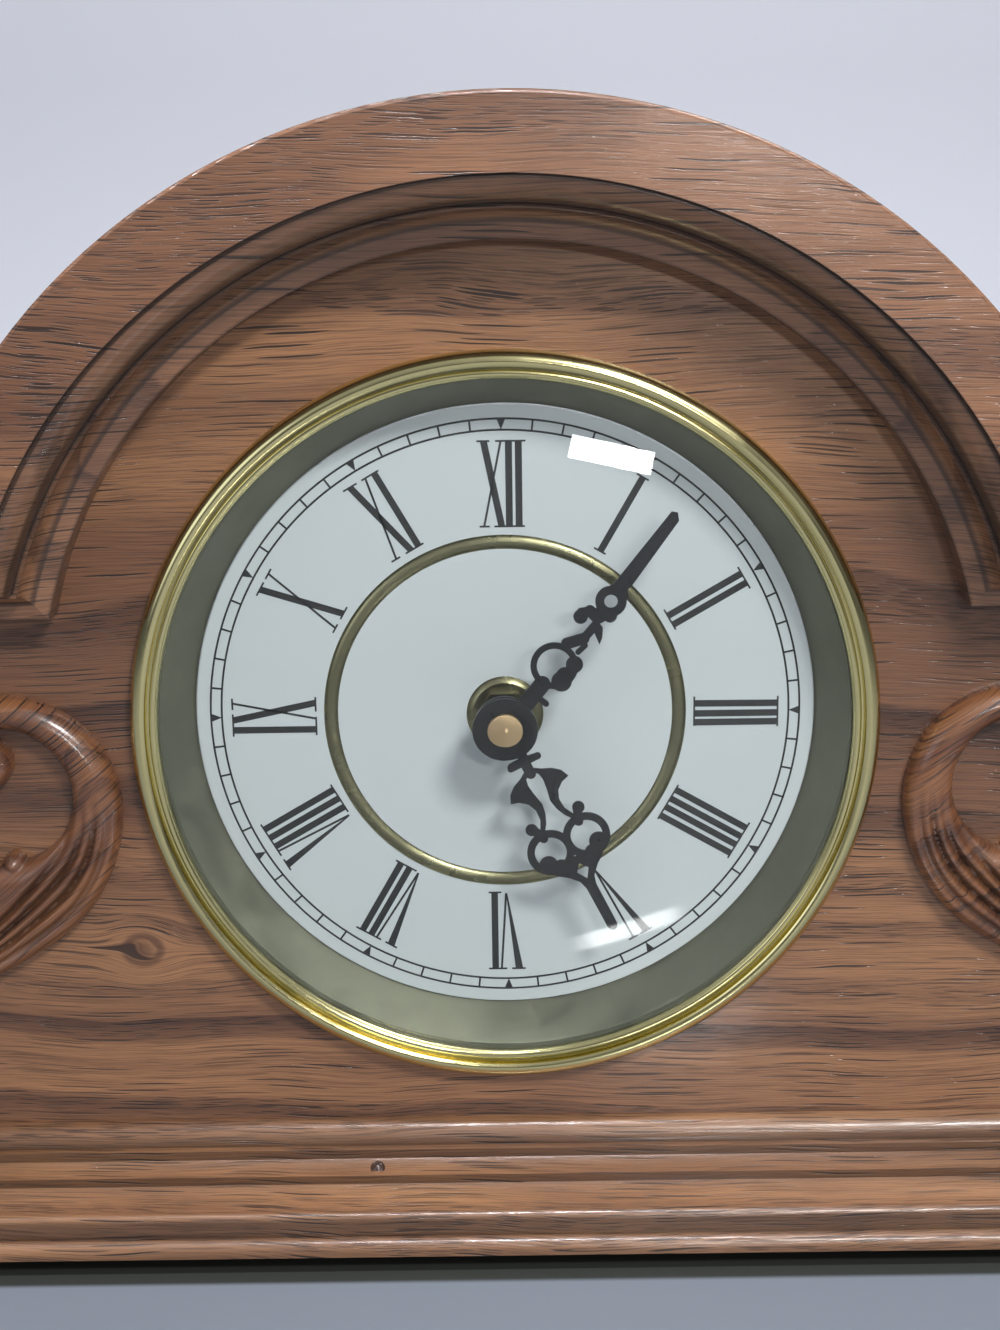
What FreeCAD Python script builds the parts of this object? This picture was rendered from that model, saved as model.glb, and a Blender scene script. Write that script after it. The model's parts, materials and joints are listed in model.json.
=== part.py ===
"""An oak mantel clock with an arched hood, a brass-rimmed dial and a quartz movement.

The frame is in millimetres: +Z is up, the clock faces -Y, and the origin lies on the
table under the middle of the base.
"""
import FreeCAD
import Part
import Sketcher
import math
import os

from FreeCAD import Rotation, Vector

# Every driving dimension, by the piece that it belongs to.
SIZES = (
    # The dial's place in the case, and the case's main sizes.
    ("dial_clearance", 10.9), ("dial_shift", -1.3), ("dial_recess", 11.3),
    ("case_depth", 70.0), ("shoulder_width", 78.0), ("shoulder_height", 48.0),
    ("panel_thickness", 12.0), ("wrap_thickness", 6.0), ("wood_gap", 0.3),
    # The ear round each scroll, and the hood in front of the arch.
    ("ear_inset", 12.0), ("ear_drop", 12.0), ("ear_radius", 34.0),
    ("hood_overhang", 3.5), ("hood_rise", 3.8), ("hood_width", 27.0),
    ("hood_thickness", 27.0), ("hood_foot_rise", 26.7),
    # The hood's moulded inner edge: steps out from the opening, and up from the panel.
    ("hood_margin", 18.1), ("hood_lip_height", 8.0), ("hood_flat_width", 3.4),
    ("hood_flat_height", 9.2), ("hood_cove_radius", 6.5), ("hood_fillet_inset", 5.8),
    ("hood_fillet_height", 15.2), ("hood_fillet_width", 1.0), ("hood_quirk_height", 18.4),
    ("hood_ovolo_radius", 8.0), ("hood_step_inset", 11.9), ("hood_step_height", 25.2),
    ("hood_step_width", 0.7), ("hood_edge_round", 0.8),
    # The base and what it stands on.
    ("foot_height", 3.5), ("foot_radius", 8.0), ("foot_inset", 22.0),
    ("board_thickness", 12.0), ("base_reach", 25.0), ("base_back_reach", 6.0),
    ("moulding_height", 20.2), ("moulding_ovolo", 4.6), ("moulding_fillet", 2.0),
    ("moulding_cove_drop", 2.1), ("moulding_cove_width", 5.0), ("moulding_cove_fall", 1.5),
    ("moulding_shelf_drop", 2.0), ("moulding_shelf_width", 8.5), ("moulding_shelf_fall", 1.7),
    ("moulding_nose_width", 2.0), ("moulding_nose_fall", 1.5), ("moulding_fascia", 3.5),
    ("moulding_toe_fall", 2.4),
    # The carved scrolls on the front panel.
    ("scroll_inset", 0.4), ("scroll_drop", 4.3), ("scroll_margin", 9.0),
    ("scroll_relief", 6.0), ("scroll_round", 1.3), ("bowl_growth", 12.3),
    ("tail_inset", 6.0), ("tail_drop", 4.0), ("hollow_shift", 0.6), ("hollow_lift", 2.8),
    ("hollow_rim", 9.8), ("reed_pitch", 4.6), ("reed_crowding", 2.4),
    ("reed_groove_radius", 1.1), ("reed_tip_pitch", 0.7),
    # The back: panel, door, hinges, catch, knob, and the blocks that hold them.
    ("back_recess", 4.0), ("back_thickness", 5.0), ("door_width", 104.0),
    ("door_height", 96.0), ("door_drop", 3.0), ("door_gap", 1.0),
    ("leaf_length", 18.0), ("leaf_width", 9.0), ("leaf_thickness", 0.8),
    ("barrel_radius", 1.6), ("hinge_pin_radius", 0.7), ("hinge_fit", 0.05),
    ("knuckle_gap", 0.15), ("hinge_inset", 12.0), ("knob_radius", 5.0),
    ("knob_length", 8.0), ("knob_inset", 16.0), ("knob_stem_radius", 2.2),
    ("catch_width", 22.0), ("catch_height", 10.0), ("catch_depth", 8.0),
    ("strike_thickness", 1.0), ("strike_width", 18.0), ("strike_height", 8.0),
    ("cleat_size", 12.0), ("cleat_length", 30.0), ("block_size", 14.0),
    ("block_length", 44.0), ("screw_head_radius", 2.8), ("screw_shank_radius", 1.4),
    ("screw_length", 11.0), ("screw_head_height", 1.5), ("pin_head_radius", 1.1),
    ("pin_shank_radius", 0.6), ("clamp_screw_length", 8.0),
    # The dial insert: bezel, pan, dial, trim ring and glass.
    ("bezel_radius", 80.4), ("bezel_lap", 4.0), ("pan_play", 0.5), ("pan_sheet", 0.6),
    ("dial_margin", 7.9), ("dial_sheet", 0.5), ("reflector_margin", 1.6),
    ("reflector_rise", 9.6), ("trim_outer_radius", 40.0), ("trim_width", 3.1),
    ("trim_height", 0.8), ("bezel_edge", 0.8), ("bezel_crest_inset", 1.7),
    ("bezel_crest_height", 4.3), ("bezel_groove_inset", 3.7), ("bezel_groove_height", 1.9),
    ("bezel_bead_inset", 4.5), ("bezel_bead_height", 2.7), ("bezel_crest_round", 2.6),
    ("bezel_bead_round", 1.6), ("bezel_lip_inset", 5.9), ("bezel_lip_height", 0.4),
    ("bezel_lip_fit", 0.25),
    ("glass_inset", 5.2), ("glass_thickness", 1.0), ("glass_rise", 8.6),
    ("glass_edge_height", 0.3), ("glass_fit", 0.2),
    ("reflector_rim_margin", 0.9), ("reflector_foot", 1.2), ("clamp_lip", 8.0),
    ("clamp_reach", 10.0), ("clamp_width", 9.0), ("clamp_thickness", 1.0),
    # The movement's case, its fixing, and the hands' stack.
    ("movement_side", 56.0), ("movement_wall", 1.2), ("movement_front_depth", 9.4),
    ("movement_back_depth", 7.6), ("rubber_thickness", 1.0),
    ("movement_corner", 3.0), ("post_radius", 3.9), ("post_bore", 2.6),
    ("post_reach", 7.6), ("post_fit", 0.3), ("washer_radius", 8.5),
    ("washer_thickness", 1.0), ("washer_dome", 5.0), ("nut_radius", 6.2),
    ("nut_thickness", 2.6), ("shaft_fit", 0.06), ("pipe_wall", 1.0), ("pipe_reach", 11.3),
    ("arbor_reach", 15.1), ("hour_plane", 10.4), ("minute_plane", 13.6),
    ("hand_sheet", 0.45), ("minute_margin", 9.0), ("hour_shortening", 6.7),
    ("minute_boss_radius", 7.0), ("hour_boss_radius", 6.7), ("boss_rise", 0.25),
    ("collet_radius", 3.2), ("collet_gap", 0.3), ("press_fit", 0.02), ("cap_radius", 3.75),
    ("cap_height", 1.5), ("cap_dome", 0.3), ("cap_neck_radius", 2.2), ("cap_neck", 0.7),
    # The gear train inside: modules, layers counted back from the case's front wall.
    ("motion_module", 0.41), ("third_module", 0.27), ("seconds_module", 0.30),
    ("rotor_module", 0.25), ("wheel_sheet", 0.7), ("pinion_length", 1.1),
    ("hour_layer", 0.3), ("cannon_layer", 1.7), ("plate_layer", 3.0), ("centre_layer", 4.2),
    ("third_layer", 5.9), ("seconds_layer", 7.5), ("rotor_layer", 9.3),
    ("plate_sheet", 0.8), ("pillar_radius", 2.0), ("pillar_inset", 4.5),
    ("train_arbor_radius", 0.45), ("set_arbor_radius", 1.2), ("pivot_fit", 0.04),
    ("pivot_depth", 0.8), ("end_shake", 0.15), ("magnet_radius", 2.4),
    ("magnet_length", 2.2), ("magnet_gap", 0.3), ("magnet_layer", 10.6),
    ("stator_layer", 11.3), ("stator_sheet", 0.8), ("stator_length", 30.0),
    ("stator_foot", 4.0), ("core_width", 1.1), ("coil_radius", 2.2), ("coil_length", 17.0),
    ("coil_bore", 0.75), ("circuit_sheet", 0.8), ("circuit_width", 12.0),
    ("circuit_height", 20.0), ("circuit_offset", 18.5), ("bay_height", 14.8),
    ("cell_radius", 7.0), ("cell_clearance", 2.1), ("cell_button_radius", 2.7),
    ("cell_button_length", 1.0), ("cell_lift", 0.3), ("contact_sheet", 0.5),
    ("contact_side", 9.0), ("contact_boss", 1.4), ("set_knob_radius", 5.5),
    ("set_knob_length", 5.0), ("set_knob_gap", 0.4),
    ("overrun", 5.0),
)

# The sizes that follow from others, each given after the ones it is made of.
FOLLOWING = (
    ("dial_height", "=foot_height + moulding_height + dial_clearance + bezel_radius"),
    ("hood_opening_radius", "=bezel_radius + hood_margin"),
    ("hood_radius", "=hood_opening_radius + hood_width"),
    ("arch_radius", "=hood_radius - hood_overhang"),
    ("ear_offset", "=arch_radius - ear_inset"),
    ("ear_height", "=dial_height - ear_drop"),
    ("case_half_width", "=ear_offset + shoulder_width"),
    ("scroll_offset", "=ear_offset - scroll_inset"),
    ("scroll_height", "=ear_height - scroll_drop"),
    ("scroll_radius", "=ear_radius - scroll_margin"),
    ("bowl_radius", "=scroll_radius + bowl_growth"),
    ("tail_tip_offset", "=case_half_width - tail_inset"),
    ("tail_tip_height", "=shoulder_height - tail_drop"),
    ("hollow_offset", "=scroll_offset + hollow_shift"),
    ("hollow_height", "=scroll_height + hollow_lift"),
    ("hollow_radius", "=scroll_radius - hollow_rim"),
    ("door_centre_height", "=dial_height - door_drop"),
    ("pan_hole_radius", "=bezel_radius - bezel_lap"),
    ("pan_neck_radius", "=pan_hole_radius - pan_play"),
    ("dial_radius", "=pan_neck_radius - dial_margin"),
    ("reflector_radius", "=pan_neck_radius - reflector_margin"),
    ("reflector_rim_radius", "=pan_neck_radius - reflector_rim_margin"),
    ("trim_inner_radius", "=trim_outer_radius - trim_width"),
    ("bezel_crest_radius", "=bezel_radius - bezel_crest_inset"),
    ("bezel_groove_radius", "=bezel_radius - bezel_groove_inset"),
    ("bezel_bead_radius", "=bezel_radius - bezel_bead_inset"),
    ("bezel_lip_radius", "=bezel_radius - bezel_lip_inset"),
    ("glass_radius", "=bezel_radius - glass_inset"),
    ("minute_length", "=dial_radius - minute_margin"),
    ("hour_length", "=minute_length - hour_shortening"),
)

# Angles in degrees, clockwise from twelve as seen from the front.
MINUTE_ANGLE = 38.5
MINUTES_A_TURN = 60
DEGREES_A_TURN = 360.0
HOUR_ANGLE = 150.0 + MINUTE_ANGLE / 12

# Counts of teeth, and the form of a tooth in modules and in shares of its pitch.
HOUR_TEETH = 40
SMALL_TEETH = 10
CANNON_TEETH = 12
MINUTE_TEETH = 36
CENTRE_TEETH = 64
LEAVES = 8
THIRD_TEETH = 60
SECONDS_TEETH = 50
FIFTH_TEETH = 60
ADDENDUM = 0.9
DEDENDUM = 1.25
ROOT_SHARE = 0.27
TIP_SHARE = 0.1

CLAMPS = 3
REEDS = 3
REED_LENGTH_SHARE = 0.62
CLEAT_LINE_SHARE = 0.45
HEAD_TAPER_SHARE = 0.6
KNOB_FOOT_SHARE = 0.6
LEAF_SCREW_SHARES = (0.2, 0.8)

# The bridge, eye and curl that stand in a scroll's hollow: place and radius in shares of
# the hollow's radius, from the hollow's centre.
HOLLOW_DISC_SHARES = (
    (0.612, 0.428, 0.461), (0.224, 0.493, 0.408), (-0.105, -1.007, 0.171))

# The minute hand, in shares of its length: bars (ends and width), discs, rings, plates.
MINUTE_BAR_SHARES = (
    (0.0, 0.102, 0.0, 0.217, 0.061), (0.027, 0.169, 0.056, 0.169, 0.022),
    (0.029, 0.39, 0.034, 0.424, 0.02), (-0.022, 0.39, 0.014, 0.441, 0.042),
    (0.014, 0.441, 0.017, 0.508, 0.032), (-0.054, 0.512, -0.027, 0.539, 0.029),
    (-0.031, 0.534, 0.007, 0.529, 0.041), (-0.01, 0.649, 0.003, 0.671, 0.041),
    (0.014, 0.673, 0.032, 0.653, 0.025))
MINUTE_DISC_SHARES = (
    (0.049, 0.268, 0.037), (0.046, 0.292, 0.032), (0.047, 0.346, 0.031),
    (-0.044, 0.497, 0.026), (0.005, 0.541, 0.029), (0.037, 0.564, 0.025),
    (0.031, 0.649, 0.017))
MINUTE_RING_SHARES = ((-0.007, 0.298, 0.086, 0.063), (0.007, 0.607, 0.056, 0.024))
MINUTE_LEAF_SHARES = (
    (0.017, 0.522), (0.044, 0.514), (0.064, 0.485), (0.073, 0.458), (0.054, 0.468),
    (0.032, 0.48))
MINUTE_BLADE_SHARES = (
    (-0.025, 0.644), (-0.024, 0.99), (-0.005, 1.0), (0.017, 0.98), (0.031, 0.695),
    (0.022, 0.654))

# The hour hand is the same on both sides, so its right half is given.
HOUR_BAR_SHARES = (
    (0.0, 0.115, 0.0, 0.229, 0.044), (-0.061, 0.173, 0.063, 0.173, 0.029),
    (0.099, 0.461, 0.082, 0.505, 0.038))
HOUR_DISC_SHARES = ((0.109, 0.449, 0.026), (0.117, 0.62, 0.04), (0.075, 0.656, 0.038))
HOUR_RING_SHARES = ((0.084, 0.574, 0.099, 0.067),)
HOUR_HALF_SHARES = (
    (0.0, 0.214), (0.025, 0.214), (0.05, 0.231), (0.088, 0.247), (0.119, 0.273),
    (0.134, 0.308), (0.099, 0.319), (0.069, 0.344), (0.054, 0.382), (0.057, 0.426),
    (0.076, 0.463), (0.088, 0.489), (0.065, 0.484), (0.042, 0.451), (0.025, 0.411),
    (0.018, 0.369), (0.029, 0.315), (0.034, 0.273), (0.029, 0.245), (0.013, 0.228),
    (0.0, 0.226))
HOUR_HEAD_SHARES = (
    (0.0, 0.635), (0.057, 0.639), (0.119, 0.65), (0.109, 0.677), (0.069, 0.707),
    (0.033, 0.746), (0.023, 0.784), (0.022, 0.981), (0.01, 1.0), (0.0, 1.0))
HOUR_HOLE_SHARES = ((0.0, 0.669), (0.027, 0.704), (0.0, 0.746), (-0.027, 0.704))

document = FreeCAD.newDocument("mantel_clock")
sheet = document.addObject("Spreadsheet::Sheet", "sizes")
for row, (name, value) in enumerate(SIZES + FOLLOWING, start=1):
    sheet.set("A%d" % row, name)
    sheet.set("B%d" % row, str(value))
    sheet.setAlias("B%d" % row, name)
document.recompute()

made = []


class Size:
    """A size in mm, with the sheet formula that it follows."""

    def __init__(self, value, text):
        self.value = value
        self.text = text

    def __add__(self, other):
        return Size(self.value + worth(other), "(%s + %s)" % (self.text, words(other)))

    def __radd__(self, other):
        return Size(worth(other) + self.value, "(%s + %s)" % (words(other), self.text))

    def __sub__(self, other):
        return Size(self.value - worth(other), "(%s - %s)" % (self.text, words(other)))

    def __rsub__(self, other):
        return Size(worth(other) - self.value, "(%s - %s)" % (words(other), self.text))

    def __mul__(self, other):
        return Size(self.value * worth(other), "(%s * %s)" % (self.text, words(other)))

    def __rmul__(self, other):
        return self * other

    def __truediv__(self, other):
        return Size(self.value / worth(other), "(%s / %s)" % (self.text, words(other)))

    def __neg__(self):
        return Size(-self.value, "(0 - %s)" % self.text)

    def root(self):
        return Size(math.sqrt(self.value), "sqrt(%s)" % self.text)


def worth(item):
    return item.value if isinstance(item, Size) else float(item)


def words(item):
    return item.text if isinstance(item, Size) else repr(float(item))


class Sizes:
    """Gives each named size of the sheet as an attribute."""

    def __getattr__(self, name):
        return Size(float(sheet.get(name)), "sizes.%s" % name)


s = Sizes()
ZERO = Size(0.0, "0")


def arc_centre(start, end, radius, turn):
    """Centre of the arc under a half turn from start to end; turn is +1 anticlockwise."""
    dx, dy = end[0] - start[0], end[1] - start[1]
    chord = math.hypot(dx, dy)
    rise = math.sqrt(max(radius ** 2 - chord ** 2 / 4, 0.0))
    return (start[0] + dx / 2 - turn * rise * dy / chord,
            start[1] + dy / 2 + turn * rise * dx / chord)


def draw(drawing, path, closed=True):
    """Adds corners to a sketch, each joined to the next by a line or an arc."""
    first = drawing.GeometryCount
    count = len(path) if closed else len(path) - 1
    ends = []
    for index, corner in enumerate(path[:count]):
        follower = path[(index + 1) % len(path)]
        start = (corner[0].value, corner[1].value)
        end = (follower[0].value, follower[1].value)
        if len(corner) == 2:
            drawing.addGeometry(Part.LineSegment(Vector(*start, 0), Vector(*end, 0)))
            ends.append((1, 2))
            continue
        radius, turn = corner[2], corner[3]
        centre = arc_centre(start, end, radius.value, turn)
        from_angle = math.atan2(start[1] - centre[1], start[0] - centre[0])
        to_angle = math.atan2(end[1] - centre[1], end[0] - centre[0])
        circle = Part.Circle(Vector(*centre, 0), Vector(0, 0, 1), radius.value)
        if turn > 0:
            drawing.addGeometry(Part.ArcOfCircle(circle, from_angle, to_angle))
            ends.append((1, 2))
        else:
            drawing.addGeometry(Part.ArcOfCircle(circle, to_angle, from_angle))
            ends.append((2, 1))
    for index in range(count if closed else count - 1):
        after = (index + 1) % count
        drawing.addConstraint(Sketcher.Constraint(
            "Coincident", first + index, ends[index][1], first + after, ends[after][0]))
    points = [(first + index, ends[index][0]) for index in range(count)]
    if not closed:
        points.append((first + count - 1, ends[-1][1]))
    for corner, (here, point) in zip(path, points):
        for kind, axis, place in (("DistanceX", -2, corner[0]), ("DistanceY", -1, corner[1])):
            if place is ZERO:
                drawing.addConstraint(Sketcher.Constraint("PointOnObject", here, point, axis))
            else:
                bind(drawing, Sketcher.Constraint(kind, -1, 1, here, point, place.value), place)
        if len(corner) > 2:
            bind(drawing, Sketcher.Constraint("Radius", here, corner[2].value), corner[2])


def ring(drawing, across, up, radius):
    """Adds a circle to a sketch."""
    centre = Vector(across.value, up.value, 0)
    drawing.addGeometry(Part.Circle(centre, Vector(0, 0, 1), radius.value))
    here = drawing.GeometryCount - 1
    for kind, axis, place in (("DistanceX", -2, across), ("DistanceY", -1, up)):
        if place is ZERO:
            drawing.addConstraint(Sketcher.Constraint("PointOnObject", here, 3, axis))
        else:
            bind(drawing, Sketcher.Constraint(kind, -1, 1, here, 3, place.value), place)
    bind(drawing, Sketcher.Constraint("Radius", here, radius.value), radius)


def bind(drawing, constraint, place):
    number = drawing.addConstraint(constraint)
    drawing.setExpression("Constraints[%d]" % number, place.text)


def put(item, x=ZERO, y=ZERO, z=ZERO):
    """Binds an object's place to the sheet."""
    for axis, place in (("x", x), ("y", y), ("z", z)):
        if place is not ZERO:
            item.setExpression("Placement.Base.%s" % axis, place.text)


def body_at(label, x=ZERO, y=ZERO, z=ZERO):
    body = document.addObject("PartDesign::Body", label)
    body.Label = label
    put(body, x, y, z)
    made.append(body)
    return body


def sketch(body, role, path=None, offset=None):
    """A sketch on one of the body's own origin planes, moved along its normal by offset."""
    plane = next(o for o in body.Origin.OriginFeatures if o.Role == role)
    drawing = body.newObject("Sketcher::SketchObject", "outline")
    drawing.AttachmentSupport = [(plane, "")]
    drawing.MapMode = "FlatFace"
    if offset is not None:
        drawing.setExpression("AttachmentOffset.Base.z", offset.text)
    if path:
        draw(drawing, path)
    return drawing


def feature(body, kind, drawing, **settings):
    item = body.newObject("PartDesign::" + kind, kind.lower())
    item.Profile = (drawing, [""])
    for name, value in settings.items():
        if isinstance(value, Size):
            setattr(item, name, value.value)
            item.setExpression(name, value.text)
        else:
            setattr(item, name, value)
    return item


def turned(label, path, x=ZERO, y=ZERO, z=ZERO):
    """A piece turned about the Y axis: its path gives depth, then radius."""
    body = body_at(label, x, y, z)
    drawing = sketch(body, "YZ_Plane", path)
    feature(body, "Revolution", drawing, ReferenceAxis=(drawing, ["H_Axis"]), Angle=360.0)
    return body


def box(label, low, high):
    """A block between two corners."""
    item = document.addObject("Part::Box", label)
    sides = [top - bottom for bottom, top in zip(low, high)]
    for name, side in zip(("Length", "Width", "Height"), sides):
        item.setExpression(name, side.text)
    put(item, *low)
    return item


def group(label, items):
    """Separate solids of one kind as one piece of the list."""
    item = document.addObject("Part::Compound", label)
    item.Label = label
    item.Links = items
    made.append(item)
    return item


def shaped(label, shape, x=ZERO, y=ZERO, z=ZERO):
    """A piece whose form comes from a formula, placed after it is shaped."""
    item = document.addObject("Part::Feature", label)
    item.Label = label
    item.Shape = shape
    item.Placement = FreeCAD.Placement(Vector(x.value, y.value, z.value), FreeCAD.Rotation())
    made.append(item)
    return item


# Places that several pieces share.
base_depth = s.base_reach + s.case_depth + s.base_back_reach
panel_y = (s.hood_thickness - s.case_depth - s.base_back_reach) / 2
panel_back_y = panel_y + s.panel_thickness
case_back_y = panel_y + s.case_depth
back_outer_y = case_back_y - s.back_recess
back_inner_y = back_outer_y - s.back_thickness
board_back_y = case_back_y + s.base_back_reach
board_top = s.foot_height + s.board_thickness
moulding_top = s.foot_height + s.moulding_height
hood_height = s.dial_height + s.hood_rise
dial_y = panel_y + s.dial_recess
DIAL = (s.dial_shift, dial_y, s.dial_height)
pan_back = s.dial_sheet + s.pan_sheet
panel_back = s.panel_thickness - s.dial_recess
movement_front = pan_back + s.rubber_thickness
hinge_x = -s.door_width / 2 - s.door_gap / 2
hinge_y = back_outer_y + s.barrel_radius
knob_x = s.door_width / 2 - s.knob_inset
pipe_radius = s.post_bore - s.shaft_fit
arbor_radius = pipe_radius - s.pipe_wall - s.shaft_fit
set_x = s.motion_module * ((HOUR_TEETH + SMALL_TEETH) / 2)
third_x = -s.third_module * ((THIRD_TEETH + LEAVES) / 2)
fifth_z = s.seconds_module * ((SECONDS_TEETH + SMALL_TEETH) / 2)
rotor_z = fifth_z + s.rotor_module * ((FIFTH_TEETH + SMALL_TEETH) / 2)
pivots = ((ZERO, ZERO), (third_x, ZERO), (ZERO, fifth_z), (ZERO, rotor_z))


def silhouette(inset):
    """The case's right-hand outline from the front, moved inwards by inset.

    A top arch meets an ear round the scroll, and a hollow sweep runs from the ear to the
    vertical end of the case. All three keep their centres when the outline moves inwards.
    """
    arch = s.arch_radius - inset
    ear = s.ear_radius - inset
    across = s.case_half_width - s.ear_offset
    drop = s.ear_height - s.shoulder_height
    sweep = (across * across + drop * drop - s.ear_radius * s.ear_radius) / (
        (drop + s.ear_radius) * 2)
    sweep_height = s.shoulder_height + sweep
    share = ear / (s.ear_radius + sweep)
    touch = (s.ear_offset + across * share,
             s.ear_height + (sweep_height - s.ear_height) * share)
    fall = hood_height - s.ear_height
    reach = (s.ear_offset * s.ear_offset + fall * fall).root()
    along = (arch * arch - ear * ear + reach * reach) / (reach * 2)
    aside = (arch * arch - along * along).root()
    join = ((along * s.ear_offset + aside * fall) / reach,
            hood_height + (aside * s.ear_offset - along * fall) / reach)
    hollow = sweep + inset
    end_x = s.case_half_width - inset
    end = (end_x, sweep_height - (hollow * hollow - inset * inset).root())
    return {"arch": arch, "ear": ear, "hollow": hollow, "join": join, "touch": touch,
            "end": end}


def full_outline(inset, bottom):
    """The closed outline of a board that fills the case, anticlockwise from its right foot."""
    half = silhouette(inset)
    (jx, jz), (tx, tz), (ex, ez) = half["join"], half["touch"], half["end"]
    return [(ex, bottom), (ex, ez, half["hollow"], -1), (tx, tz, half["ear"], 1),
            (jx, jz, half["arch"], 1), (-jx, jz, half["ear"], 1),
            (-tx, tz, half["hollow"], -1), (-ex, ez), (-ex, bottom)]


def make_front_panel():
    body = body_at("front_panel", y=panel_y)
    drawing = sketch(body, "XZ_Plane", full_outline(ZERO, board_top))
    ring(drawing, s.dial_shift, s.dial_height, s.pan_hole_radius)
    feature(body, "Pad", drawing, Length=s.panel_thickness, Reversed=True)
    drawing = sketch(body, "XZ_Plane", offset=-s.panel_thickness)
    for x, z in clamp_places():
        ring(drawing, x, z, s.screw_shank_radius + s.hinge_fit)
    feature(body, "Pocket", drawing, Length=s.clamp_screw_length, Reversed=True)


def clamp_places():
    """Where the dial's clamps are screwed to the back of the front panel."""
    out = s.pan_hole_radius + s.clamp_reach / 2
    turns = [math.radians(90 + DEGREES_A_TURN / CLAMPS * number) for number in range(CLAMPS)]
    return [(s.dial_shift + out * math.cos(turn), s.dial_height + out * math.sin(turn))
            for turn in turns]


def make_wrap():
    """The bent top and the two sawn shoulders that join the front panel to the back."""
    outer, inner = silhouette(ZERO), silhouette(s.wrap_thickness)
    depth = s.case_depth - s.panel_thickness
    (jx, jz), (tx, tz), (ex, ez) = outer["join"], outer["touch"], outer["end"]
    (kx, kz), (ux, uz), (fx, fz) = inner["join"], inner["touch"], inner["end"]
    body = body_at("arch_wrap", y=panel_back_y)
    path = [(jx, jz, outer["arch"], 1), (-jx, jz), (-kx, kz, inner["arch"], -1), (kx, kz)]
    feature(body, "Pad", sketch(body, "XZ_Plane", path), Length=depth, Reversed=True)
    for name, side in (("right", 1), ("left", -1)):
        body = body_at("shoulder_" + name, y=panel_back_y)
        path = [(jx * side, jz, outer["ear"], -side), (tx * side, tz, outer["hollow"], side),
                (ex * side, ez), (ex * side, board_top), (fx * side, board_top),
                (fx * side, fz, inner["hollow"], -side), (ux * side, uz, inner["ear"], side),
                (kx * side, kz)]
        feature(body, "Pad", sketch(body, "XZ_Plane", path), Length=depth, Reversed=True)


def hood_profile(start, depth_first):
    """The hood's moulded edge: (depth, distance) pairs from the opening into the wood.

    From the wall at the opening it climbs by a flat, a cove, a fillet, an ovolo and a
    small step to the face. start is where the opening's wall stands.
    """
    flat = start + s.hood_flat_width
    fillet = start + s.hood_fillet_inset
    quirk = fillet + s.hood_fillet_width
    step = start + s.hood_step_inset
    return [(ZERO, start), (-s.hood_lip_height, start),
            (-s.hood_flat_height, flat, s.hood_cove_radius, depth_first),
            (-s.hood_fillet_height, fillet), (-s.hood_fillet_height, quirk),
            (-s.hood_quirk_height, quirk, s.hood_ovolo_radius, -depth_first),
            (-s.hood_step_height, step - s.hood_step_width), (-s.hood_step_height, step),
            (-s.hood_thickness, step)]


def make_hood():
    """The arched hood: a turned ring with a moulded opening, cut off at its two feet."""
    body = body_at("arch_hood", y=panel_y, z=hood_height)
    rim = s.hood_radius
    path = hood_profile(s.hood_opening_radius, 1)
    path += [(-s.hood_thickness, rim - s.hood_edge_round, s.hood_edge_round, 1),
             (-s.hood_thickness + s.hood_edge_round, rim), (ZERO, rim)]
    drawing = sketch(body, "YZ_Plane", path)
    feature(body, "Revolution", drawing, ReferenceAxis=(drawing, ["H_Axis"]), Angle=360.0)
    foot = s.hood_foot_rise - s.hood_rise
    below = -rim - s.overrun
    path = hood_profile(foot, 1)
    path += [(-s.hood_thickness - s.overrun, foot + s.hood_step_inset),
             (-s.hood_thickness - s.overrun, below), (s.overrun, below), (s.overrun, foot)]
    drawing = sketch(body, "YZ_Plane", path)
    feature(body, "Pocket", drawing, Midplane=True, Length=rim * 2 + s.overrun * 2)


def sweep_radius(width, fall):
    """Radius of the arc that spans width and falls by fall, ending level."""
    return (width * width + fall * fall) / (fall * 2)


def moulding_profile(side):
    """The base moulding's section: (reach * side, height) from its top to its foot."""
    reach, height = ZERO + s.moulding_ovolo, s.moulding_height - s.moulding_ovolo
    path = [(ZERO, s.moulding_height, s.moulding_ovolo, -side), (reach * side, height)]
    reach = reach + s.moulding_fillet
    path.append((reach * side, height))
    height = height - s.moulding_cove_drop
    for width, fall, drop in (
            (s.moulding_cove_width, s.moulding_cove_fall, s.moulding_shelf_drop),
            (s.moulding_shelf_width, s.moulding_shelf_fall, None)):
        path.append((reach * side, height, sweep_radius(width, fall), side))
        reach, height = reach + width, height - fall
        if drop is not None:
            path.append((reach * side, height))
            height = height - drop
    path.append((reach * side, height, sweep_radius(s.moulding_nose_fall,
                                                    s.moulding_nose_width), -side))
    reach, height = reach + s.moulding_nose_width, height - s.moulding_nose_fall
    path.append((reach * side, height))
    height = height - s.moulding_fascia
    toe = s.base_reach - reach
    path.append((reach * side, height, sweep_radius(s.moulding_toe_fall, toe), -side))
    path.append((s.base_reach * side, height - s.moulding_toe_fall))
    path += [(s.base_reach * side, ZERO), (ZERO, ZERO)]
    return path


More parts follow.
